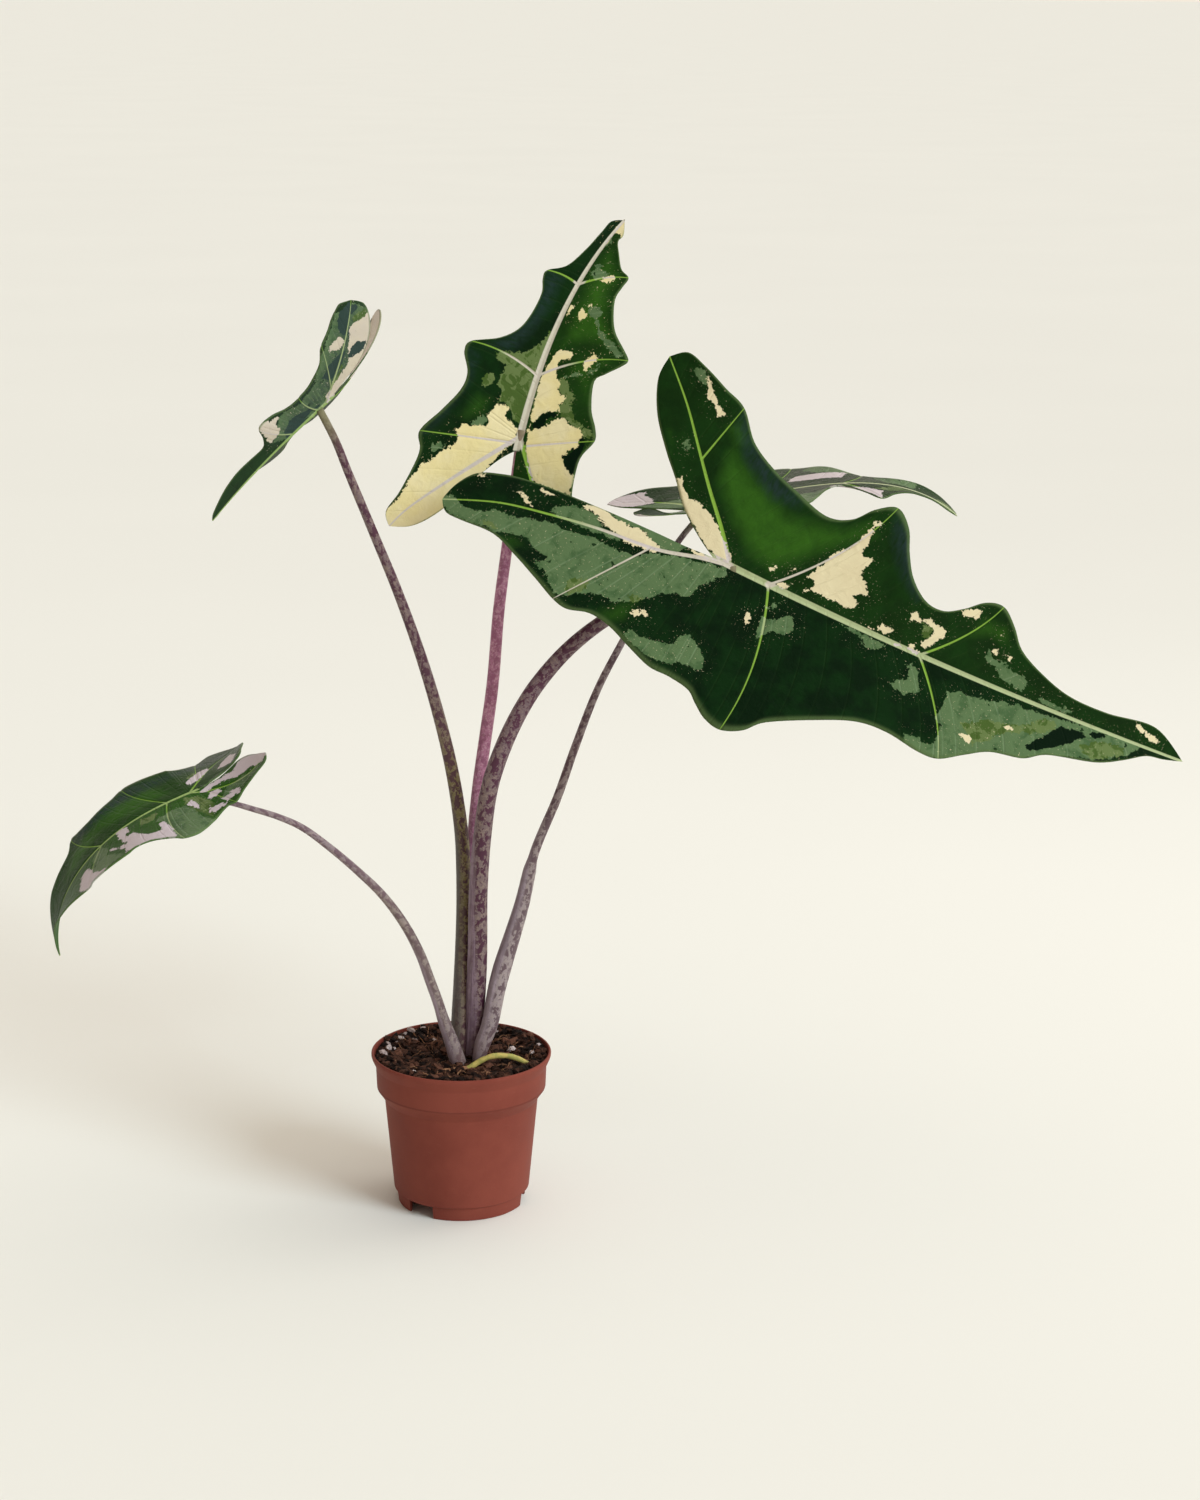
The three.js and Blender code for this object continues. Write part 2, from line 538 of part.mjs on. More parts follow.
function pot() {
  const { padRadius, channelRadius, channelHeight, floorThickness, wallThickness } = POT;
  const { outer, inner, innerFoot, notch, drain } = POT;
  const roof = channelHeight + floorThickness;
  const profile = [[0, 0], [padRadius, 0], [channelRadius, channelHeight],
    [outer[0][0], channelHeight], ...outer, ...inner, innerFoot, [channelRadius - wallThickness, roof],
    [padRadius - wallThickness, floorThickness], [0, floorThickness]];
  let body = toSolid(lathe(profile));
  for (let k = 0; k < notch.count; k += 1) {
    const angle = THREE.MathUtils.degToRad(notch.first + (360 * k) / notch.count);
    const cutter = new THREE.BoxGeometry(notch.width, notch.depth, notch.height * 2)
      .translate(0, -notch.ring, 0).rotateZ(angle);
    body = body.subtract(toSolid(cutter));
  }
  for (let k = 0; k < drain.count; k += 1) {
    const angle = (2 * Math.PI * (k + 0.5)) / drain.count;
    const cutter = new THREE.CylinderGeometry(drain.radius, drain.radius, drain.depth, 8)
      .rotateX(Math.PI / 2)
      .translate(drain.ring * Math.cos(angle), drain.ring * Math.sin(angle), channelHeight);
    body = body.subtract(toSolid(cutter));
  }
  return body;
}

// Soil body that fills the pot, with a bumpy top.
function soil() {
  const { padRadius, channelRadius, channelHeight, floorThickness, inner, innerFoot } = POT;
  const roof = channelHeight + floorThickness + GAP;
  const wall = [innerFoot, ...inner.slice(3).reverse()]
    .map(([radius, height]) => [radius - SOIL.wallGap, height + GAP]);
  const edge = [wall[wall.length - 1][0], SOIL.edgeLevel];
  const sunk = [[0, floorThickness + GAP], [padRadius - SOIL.floorGap, floorThickness + GAP],
    [channelRadius - SOIL.floorGap, roof]];
  const top = SOIL.rings.map((radius) => [radius, SOIL.level]);
  const geometry = lathe([...sunk, ...wall, edge, ...top, [0, SOIL.level]]);
  const position = geometry.attributes.position;
  for (let k = 0; k < position.count; k += 1) {
    if (Math.abs(position.getZ(k) - SOIL.level) > 0.01) continue;
    const [x, y] = [position.getX(k), position.getY(k)];
    const waves = Math.sin(x / 4.1 + 1.3 * Math.sin(y / 5.7)) * Math.cos(y / 3.6 + 0.8 * Math.sin(x / 6.3));
    const crumbs = Math.sin(x * 0.83 + 2.1) * Math.sin(y * 0.71 + x * 0.21);
    position.setZ(k, SOIL.level + SOIL.bump * (0.6 * waves + 0.4 * crumbs));
  }
  return toSolid(geometry);
}

function corm(extra = 0) {
  const { centre, radius, bottom, top, fullness, steps, segments } = CORM;
  const middle = (bottom + top) / 2;
  const half = (top - bottom) / 2 + extra;
  const profile = Array.from({ length: steps + 1 }, (_, k) => {
    const height = middle - half * Math.cos((Math.PI * k) / steps);
    const onAxis = k === 0 || k === steps;
    const width = onAxis ? 0 : (radius + extra) * Math.sin((Math.PI * k) / steps) ** fullness;
    return new THREE.Vector2(width, height);
  });
  return new THREE.LatheGeometry(profile, segments).rotateX(Math.PI / 2)
    .translate(centre[0], centre[1], 0);
}

const group = new THREE.Group();

function add(name, solid, surfaceMaterial) {
  const mesh = new THREE.Mesh(toGeometry(solid), surfaceMaterial);
  mesh.name = name;
  group.add(mesh);
}

const rootOf = (extra) => stalk(ROOT.points, ROOT.radii, { sides: 6, step: 5, extra });

let buried = toSolid(corm(GAP));
const petioles = Object.entries(LEAVES).map(([name, leaf]) => {
  const bladeRoom = toSolid(blade(leaf, GAP));
  const cut = toSolid(petiole(leaf)).subtract(buried).subtract(bladeRoom);
  buried = buried.add(toSolid(petiole(leaf, GAP)));
  return [name, largestPiece(cut)];
});
buried = buried.add(toSolid(rootOf(GAP)));

add("pot", pot(), MATERIALS.terracottaPlastic);
add("soil", largestPiece(soil().subtract(buried)), MATERIALS.soil);
add("corm", toSolid(corm()), MATERIALS.corm);
petioles.forEach(([name, solid]) => add(`petiole_${name}`, solid, MATERIALS.petiole));
Object.entries(LEAVES).forEach(([name, leaf]) => add(`blade_${name}`, toSolid(blade(leaf)), MATERIALS.leaf));
add("surface_root", toSolid(rootOf(0)), MATERIALS.root);

export default group;
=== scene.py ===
# Potted sarian alocasia: the looks of its leaves, stalks, pot and soil, around the CAD frame.
# Shapes are given in millimetres, as in the CAD, and built in metres.
import math

import bpy
import numpy as np
from mathutils import Matrix


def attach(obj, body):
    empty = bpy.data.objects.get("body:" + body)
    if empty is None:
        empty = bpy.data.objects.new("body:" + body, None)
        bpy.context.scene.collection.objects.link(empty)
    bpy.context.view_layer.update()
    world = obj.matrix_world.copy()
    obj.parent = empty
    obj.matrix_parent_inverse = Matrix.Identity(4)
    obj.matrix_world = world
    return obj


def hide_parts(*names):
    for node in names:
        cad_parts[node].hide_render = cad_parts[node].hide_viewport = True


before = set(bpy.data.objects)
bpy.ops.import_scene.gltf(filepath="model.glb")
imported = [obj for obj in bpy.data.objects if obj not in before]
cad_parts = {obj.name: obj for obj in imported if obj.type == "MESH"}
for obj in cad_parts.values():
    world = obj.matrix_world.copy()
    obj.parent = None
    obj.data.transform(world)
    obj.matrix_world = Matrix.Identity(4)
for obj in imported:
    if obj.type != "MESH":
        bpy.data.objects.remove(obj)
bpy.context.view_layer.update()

MM = 0.001
SEED = 7
FULL_TURN = 2 * math.pi

# Camera of the photograph: 3000 px focal length at 1200 x 1500. Places in metres, angles in degrees.
CAMERA = {"place": (0.091, -1.896, 0.789), "down": 14.11, "roll": 0.49, "lens": 72, "sensor": 36,
          "near": 0.05, "far": 6000}
FLOOR = {"size": 3000000, "shade": 0.985}
LIGHTS = {
    "key": {"kind": "SUN", "place": (0, 0, 0), "turn": (60, 0, 52), "glossy": False,
            "settings": {"energy": 2.35, "angle": math.radians(27), "color": (0.76, 0.90, 1.0)}},
    "softbox": {"kind": "AREA", "place": (1.3, 0.7, 1.5), "turn": (55, 0, 118), "glossy": True,
                "settings": {"energy": 5, "size": 0.9}},
}
# The glow lies round one direction, and the band at the floor's level takes its place.
SKY = {"glow_toward": (0.62, 0.22, 0.75), "glow_span": (-0.1, 0.95), "glow": (0.16, 0.98),
       "band_span": (0.2, 0.32), "band": 0.87}

# Linear colours.
COLOURS = {
    "backdrop": (0.845, 0.835, 0.775), "sky": (1.06, 0.955, 0.840),
    "leaf_dark": (0.0016, 0.0090, 0.0030), "leaf_green": (0.0030, 0.0185, 0.0040),
    "leaf_fresh": (0.030, 0.100, 0.009), "olive": (0.060, 0.105, 0.022), "olive_pale": (0.120, 0.170, 0.055),
    "grey": (0.060, 0.114, 0.044), "grey_pale": (0.100, 0.162, 0.068), "blue_grey": (0.022, 0.042, 0.040),
    # The sheen colour is a painted reflection on the glossy leaves.
    "painted_sheen": (0.022, 0.038, 0.042), "cream": (0.730, 0.620, 0.305), "ivory": (0.760, 0.670, 0.420),
    # lilac is the cream of the pale patches painted as it looks in shade, which is painted shade, and it also
    # tints the ribs that cross them.
    "lilac": (0.560, 0.480, 0.530), "rib_green": (0.230, 0.400, 0.055), "rib_cream": (0.600, 0.540, 0.440),
    "vein_pale": (0.200, 0.280, 0.150), "under": (0.075, 0.110, 0.070), "edge": (0.110, 0.170, 0.060),
    "stalk": (0.255, 0.192, 0.248), "stalk_rosy": (0.480, 0.200, 0.340),
    "thread": (0.095, 0.068, 0.095), "thread_rosy": (0.260, 0.075, 0.160),
    "dusk": (0.042, 0.048, 0.042), "shade": (0.160, 0.105, 0.120), "shade_yellow": (0.150, 0.125, 0.028),
    "shade_rosy": (0.420, 0.170, 0.270), "cell": (0.210, 0.165, 0.098), "cell_rosy": (0.640, 0.400, 0.460),
    # The lift colour is painted light: a paler skin laid over stalks that lie in shade.
    "lift": (0.450, 0.385, 0.400), "spot": (0.034, 0.007, 0.019), "spot_rosy": (0.200, 0.045, 0.110),
    "stalk_foot": (0.205, 0.120, 0.098), "stalk_top": (0.200, 0.190, 0.090),
    "pot": (0.178, 0.040, 0.027), "pot_light": (0.214, 0.052, 0.035), "pot_scuff": (0.320, 0.120, 0.085),
    # The crease colour is painted shade: a thin dark line at the bottom of the pot's collar.
    "pot_dark": (0.090, 0.025, 0.018), "painted_crease_shade": (0.060, 0.016, 0.012),
    "soil": (0.007, 0.0032, 0.0025), "soil_light": (0.150, 0.062, 0.038),
    "perlite": (0.420, 0.320, 0.300), "perlite_light": (0.640, 0.540, 0.510),
    "fibre": (0.045, 0.018, 0.010), "fibre_light": (0.400, 0.200, 0.105),
    "root": (0.500, 0.390, 0.110), "root_green": (0.330, 0.310, 0.085), "root_tip": (0.300, 0.170, 0.080),
    "corm": (0.060, 0.035, 0.020), "corm_light": (0.220, 0.140, 0.080),
}

POT = {
    "segments": 192, "rounding": 0.6, "pad": 26, "channel": 29, "channel_height": 8, "floor": 1.4,
    # crease is the height of a painted shade line at the bottom of the collar.
    "wall": 1.2, "crease": 81.2, "sharp": 40,
    "outer": [(41, 0), (42.6, 0), (43.6, 9), (45.4, 10), (51.3, 73), (54.2, 77.5), (56.4, 80.5), (57, 95.5),
              (59.3, 100.5), (60, 102.5), (60, 104.2), (59.5, 104.8)],
    "inner": [(58.5, 104.8), (57.9, 101.5), (55.7, 96), (55.1, 81.5), (52.7, 78.2), (49.9, 73.5)],
    "inner_foot": (43.6, 9.4),
    "notch": {"count": 3, "width": 20, "height": 8.6, "depth": 10, "ring": 43, "first": -37},
    "drain": {"count": 6, "radius": 3, "ring": 35, "depth": 6, "sides": 32},
}
# The soil's side runs down inside the pot. "rim" says where its top starts to rise and over what width,
# and "dip" is the hollow where the root goes in: its place, depth and width.
SOIL = {
    "level": 97.4, "rim_rise": 5.0, "back_rise": 0.8, "relief": 2.8, "radius": 57.1, "segments": 300,
    "rings": 110, "crowding": 0.85, "rim": (34, 18), "rim_power": 1.5, "rim_smooth": 0.6, "back": 50,
    # tone: the soil's tone follows its bumps, with painted shade in the hollows and painted light on the
    # tops.
    "dip": {"place": (46, -9), "depth": 4, "width": 70}, "top_from": 95, "tone": (0.14, 0.12),
    "side": [(0, 2), (24, 2), (28, 9.9), (43.2, 10.2), (49.3, 73.5), (52, 79), (54.4, 82), (55.3, 95.4),
             (57.1, 100.2)],
}
# Litter: "reach" is how far from the middle it lies. Each size, tone, length and width is the least,
# the range and the power of a random value. The crumbs' last entry makes their tone follow the bumps: painted
# shade in the hollows and painted light on the tops.
GRAIN = {"flatness": 0.7, "sink": 0.2, "stretch": 0.5, "above": 0.6}
CRUMBS = {**GRAIN, "count": 2900, "reach": 55.5, "size": (0.7, 2.6, 2.2), "tone": (0, 1, 2.2),
          "rough": 0.7, "bump_shading": (0.55, 0.3, 0.08, 1.3)}
CHIPS = {**GRAIN, "count": 260, "reach": 52, "size": (1.8, 3.2, 1.5), "tone": (0, 1, 1.5), "rough": 0.8,
         "flatness": 0.6}
PERLITE = {
    **GRAIN, "size": (1.6, 1.4, 1), "tone": (0, 1, 1), "rough": 0.5, "sink": -0.4,
    "spots": [(-36, 38), (-40, 33), (-33, 29), (-50, 15), (-46, 10), (-49, 6), (-52, 1), (-45, 20),
              (-20, 32), (-13, 37), (33, 14), (51, 14), (47, 5), (-28, 44), (-44, -8), (-30, -34),
              (22, 44), (-52, -6), (-42, 26)],
}
FIBRES = {"count": 320, "reach": 49, "limit": 53, "points": 7, "length": (6, 18, 2), "curl": 1.6,
          "above": 0.6, "rise": 4.5, "width": (0.15, 0.3, 2), "thins_from": 0.7, "tip": 0.4,
          "tone_power": 0.8, "sides": 5, "step": 1.6}
TWIG = {"path": [(19, 31, 98.5), (23, 35, 99.6), (26, 34.5, 100.4), (30, 36.5, 99.4), (34, 36, 98.2)],
        "radii": [(0, 1.1), (0.5, 0.9), (1, 0.6)], "sides": 10, "step": 0.8, "tone": 0.75,
        "bumps": [(0.15, 2, 11, 0)]}
# Bumps on a tube are waves: (share of the radius, waves round it, phase added along it, first phase).
ROOT = {
    "points": [(-3, -21, 92), (2, -21.5, 98), (8.1, -20.5, 101), (13.3, -19, 104), (18, -18, 106),
               (23, -17, 107), (31, -14, 106), (38, -11, 103), (44, -10, 99.5), (49, -9, 95), (50, -9, 90)],
    "radii": [(0, 1.5), (0.3, 1.9), (0.8, 1.8), (1, 1.4)], "sides": 20, "step": 0.7,
    "bumps": [(0.05, 2, 30, 0), (0.04, 0, 61, 0)],
}
ROOT_TAILS = {
    "paths": [[(5, -21.5, 99.6), (0, -23.5, 100.6), (-5, -26, 100.4), (-9, -29.5, 99.2), (-11, -33, 97.5)],
              [(0, -23.5, 100.4), (1, -27, 100.2), (-1, -31, 99.4), (0, -35, 97.5)],
              [(-4, -25.5, 100.4), (-9, -26, 100.6), (-14, -28, 99.6), (-18, -27, 97.5)]],
    "widths": (1.5, 0.9, 0.8), "tip": 0.35, "sides": 10, "step": 0.7, "tone": 0.75,
    "bumps": [(0.12, 3, 23, 0)],
}

# Blades: "limit" is how far past its length a midrib is traced. Rows crowd toward the root of a column
# that is longer than "crowded_over". "rib_width" is the midrib's least half width and what is added.
BLADE = {
    "half_thickness": 0.4, "rib_depth": 1.5, "vein_depth": 0.8, "rib_reach": 2.6, "vein_reach": 1.6,
    "rib_width": (0.35, 1.9), "rib_back": 0.1, "rib_groove": 1.5, "vein_groove": 1.2, "groove": 0.35,
    "bow": 0.28, "taper": 0.75, "bend_power": 1.3, "limit": 1.3, "columns": 9, "rows": 34, "inner_rows": 12,
    "costa_steps": 60, "crowded_over": 12, "crowding": 1.6, "lift_power": 2, "edge_power": 12,
    "vein_points": 25, "fine_points": 12, "fine_step": 6, "shortest_fine": 8,
}
# Veins as half widths at the root and the tip, and how far they stand out below, times vein_depth.
MAIN_VEIN = (0.8, 0.25, 1)
SIDE_VEIN = (0.7, 0.25, 1)
COSTA = (1.4, 0.4, 1.5)
# Fields on a blade, in millimetres: how far a distance counts, how wide the pale of the midrib and of a
# vein reaches, and how a soft patch fades. A leaf's noise starts "apart" from that of the leaf before.
FIELD = {"reach": 20.0, "rib_top": 3, "rib_pale": 4, "vein_pale": 3, "pale_fade": 5, "soft_fade": 14,
         "soft_rim": 0.2, "apart": 90}

# Outlines of the halves: (along, across) points from the tip to the end of the basal lobe. "marks" are
# the points that face the far vein, the near vein, the stalk, the side vein and the lobe's end. "costa"
# is the main vein of the lobe, "side_vein" the share of it where a vein leaves it, and "inner" the
# lobe's inner edge.
UPRIGHT_LEFT = {
    "outline": [(164, 0), (157, 6), (146, 6), (131, 7), (115, 12), (106, 22), (100, 22), (91, 18), (76, 18),
                (64, 22), (55, 32), (48, 48), (41, 50), (30, 44), (19, 45), (5, 53), (-12, 64), (-23, 61),
                (-34, 62), (-53, 67), (-67, 73), (-76, 69)],
    "marks": (5, 11, 14, 16, 21), "side_vein": 0.06, "costa": [(0, 0), (-28, 28), (-60, 58), (-76, 69)],
    "inner": [(-76, 69), (-72, 54), (-59, 39), (-40, 26), (-27, 17), (-16, 8), (-9, 0)],
}
UPRIGHT_RIGHT = {
    "outline": [(164, 0), (158, 4), (152, 7), (146, 7), (138, 13), (130, 20), (127, 27), (119, 27),
                (109, 27), (96, 32), (86, 38), (77, 48), (71, 53), (65, 50), (56, 42), (49, 37), (30, 41),
                (18, 47), (9, 49), (-3, 43), (-13, 42), (-27, 43), (-43, 47), (-60, 52), (-76, 52),
                (-86, 44)],
    "marks": (6, 12, 16, 18, 25), "side_vein": 0.06, "costa": [(0, 0), (-26, 15), (-55, 31), (-86, 44)],
    "inner": [(-86, 44), (-82, 33), (-70, 24), (-55, 14), (-40, 7), (-26, 2), (-9, 0)],
}
LARGE_LEFT = {
    "outline": [(318, 0), (291, 14), (256, 11), (229, 12), (207, 19), (190, 28), (180, 40), (169, 49),
                (157, 47), (146, 38), (134, 31), (121, 32), (108, 42), (99, 56), (92, 70), (80, 79),
                (67, 72), (56, 60), (40, 55), (16, 61), (-3, 67), (-22, 77), (-38, 94), (-54, 100),
                (-72, 107), (-86, 111), (-96, 104)],
    "marks": (7, 15, 18, 22, 26), "side_vein": 0.5, "costa": [(0, 0), (-15, 18), (-34, 38), (-50, 56),
        (-72, 81), (-96, 104)],
    "inner": [(-96, 104), (-96, 88), (-86, 67), (-70, 48), (-57, 35), (-42, 19), (-25, 7), (-12, 0)],
}
LARGE_RIGHT = {
    "outline": [(318, 0), (304, 3), (291, 5), (276, 13), (258, 21), (227, 28), (213, 36), (193, 40),
                (179, 48), (165, 57), (152, 58), (131, 55), (112, 57), (90, 67), (64, 82), (54, 93),
                (42, 99), (31, 97), (22, 91), (14, 85), (0, 83), (-14, 83), (-32, 77), (-48, 71), (-63, 69),
                (-77, 73), (-88, 71), (-104, 64), (-123, 56), (-143, 49), (-167, 49), (-180, 48),
                (-187, 41)],
    "marks": (9, 16, 20, 26, 32), "side_vein": 0.27, "costa": [(0, 0), (-19, 4), (-47, 12), (-85, 16),
        (-117, 21), (-152, 28), (-187, 41)],
    "inner": [(-187, 41), (-184, 28), (-176, 16), (-162, 10), (-142, 6), (-100, 3.5), (-55, 2), (-30, 1.5),
              (-12, 0)],
}
LOW_LEFT = {
    "outline": [(147, 0), (138, 4), (126, 12), (112, 27), (102, 34), (87, 45), (82, 42), (68, 46), (58, 47),
                (52, 44), (42, 45), (31, 51), (26, 56), (18, 56), (10, 51), (-1, 42), (-10, 37), (-15, 39),
                (-23, 36), (-34, 37), (-43, 38), (-48, 32)],
    "marks": (5, 12, 15, 17, 21), "side_vein": 0.2, "costa": [(0, 0), (-14, 11), (-31, 24), (-48, 32)],
    "inner": [(-48, 32), (-46, 22), (-43, 9), (-36, 1.5), (-20, 1.5), (-8, 0)],
}
LOW_RIGHT = {
    "outline": [(147, 0), (140, 6), (129, 14), (115, 22), (104, 24), (87, 30), (79, 42), (72, 40), (62, 37),
                (53, 38), (42, 42), (31, 48), (19, 47), (8, 44), (-3, 41), (-13, 43), (-24, 48), (-34, 57),
                (-40, 62), (-46, 57), (-51, 44)],
    "marks": (6, 11, 14, 16, 20), "side_vein": 0.2, "costa": [(0, 0), (-14, 14), (-33, 32), (-51, 44)],
    "inner": [(-51, 44), (-53, 31), (-48, 15), (-41, 3), (-20, 1.5), (-8, 0)],
}
UPPER_LEFT = {
    "outline": [(104, 0), (99, 4), (86, 8), (72, 9), (58, 8), (48, 9), (44, 18), (42, 30), (37, 31),
                (30, 26), (22, 22), (11, 24), (4, 25), (-3, 28), (-14, 34), (-24, 45), (-40, 46), (-53, 48),
                (-61, 49), (-68, 42)],
    "marks": (7, 11, 13, 15, 19), "side_vein": 0.15, "costa": [(0, 0), (-20, 16), (-44, 31), (-68, 42)],
    "inner": [(-68, 42), (-70, 27), (-58, 12), (-40, 4), (-20, 2), (-8, 0)],
}
UPPER_RIGHT = {
    "outline": [(104, 0), (100, 7), (94, 9), (85, 9), (75, 13), (60, 22), (50, 28), (42, 31), (36, 33),
                (25, 28), (17, 24), (10, 25), (4, 28), (-8, 36), (-20, 43), (-30, 44), (-42, 46), (-56, 50),
                (-64, 50), (-70, 44)],
    "marks": (7, 11, 12, 14, 19), "side_vein": 0.15, "costa": [(0, 0), (-20, 15), (-44, 31), (-70, 44)],
    "inner": [(-70, 44), (-73, 28), (-62, 12), (-42, 5), (-20, 2), (-8, 0)],
}
BACK_LEFT = {
    "outline": [(180, 0), (174, 7), (164, 13), (152, 15), (140, 15), (126, 19), (113, 28), (95, 44),
                (80, 56), (64, 64), (52, 65), (35, 60), (15, 57), (-12, 60), (-38, 62), (-48, 60),
                (-53, 54)],
    "marks": (6, 9, 12, 13, 16), "side_vein": 0.15, "costa": [(0, 0), (-18, 22), (-38, 43), (-53, 54)],
    "inner": [(-53, 54), (-48, 40), (-37, 27), (-22, 13), (-8, 0)],
}
BACK_RIGHT = {
    "outline": [(180, 0), (172, 4), (160, 7), (150, 11), (140, 14), (130, 20), (120, 31), (110, 24),
                (97, 16), (86, 28), (78, 46), (72, 59), (60, 60), (38, 52), (15, 54), (-11, 62), (-27, 63),
                (-41, 62), (-53, 54)],
    "marks": (6, 11, 14, 15, 18), "side_vein": 0.15, "costa": [(0, 0), (-18, 22), (-38, 43), (-53, 54)],
    "inner": [(-53, 54), (-48, 40), (-37, 27), (-22, 13), (-8, 0)],
}

# Leaves, with the bends of the CAD blades.
# seat, toward, face: where the stalk joins the blade, and where its midrib and its upper side point
# length, back: how far the blade reaches before and behind the seat
# droop, sweep, twist: degrees by which the midrib bends down, sideways and round, before and behind
# late: power that holds the droop back toward the tip
# fold: degrees by which the left and the right half rise, behind the seat, at it and at the tip
# ruffle, veins: height of the margin's waves, and where the far and the near vein leave the midrib
# halves, sections: the two outlines, and the number of column groups in each section
# fresh: share of fresh green in the left and the right half
# lit_cream, rib: pale patches from lilac (0), the cream painted as it looks in shade, to cream (1), and ribs
# from green (0) to cream (1)
# rib_width: width of the ribs as drawn, as a factor
# pale: share of each vein that is cream, in each half: the far, near and side vein, and the costa
# petiole, radii: the stalk's course, and its radii at shares of its length
# flush, yellow, dusk, spots, lift: how rosy, yellow, dark and spotted the stalk's skin is, and how much
# painted light pales it where the stalk lies in shade
MOST_LEAVES = {"late": 1.6, "twist": (0, 0), "ruffle": 3, "sections": (5, 5, 3, 2, 4), "rib_width": 1,
               "pale": ((0, 0, 0, 0), (0, 0, 0, 0)), "dusk": 0, "lift": 0}
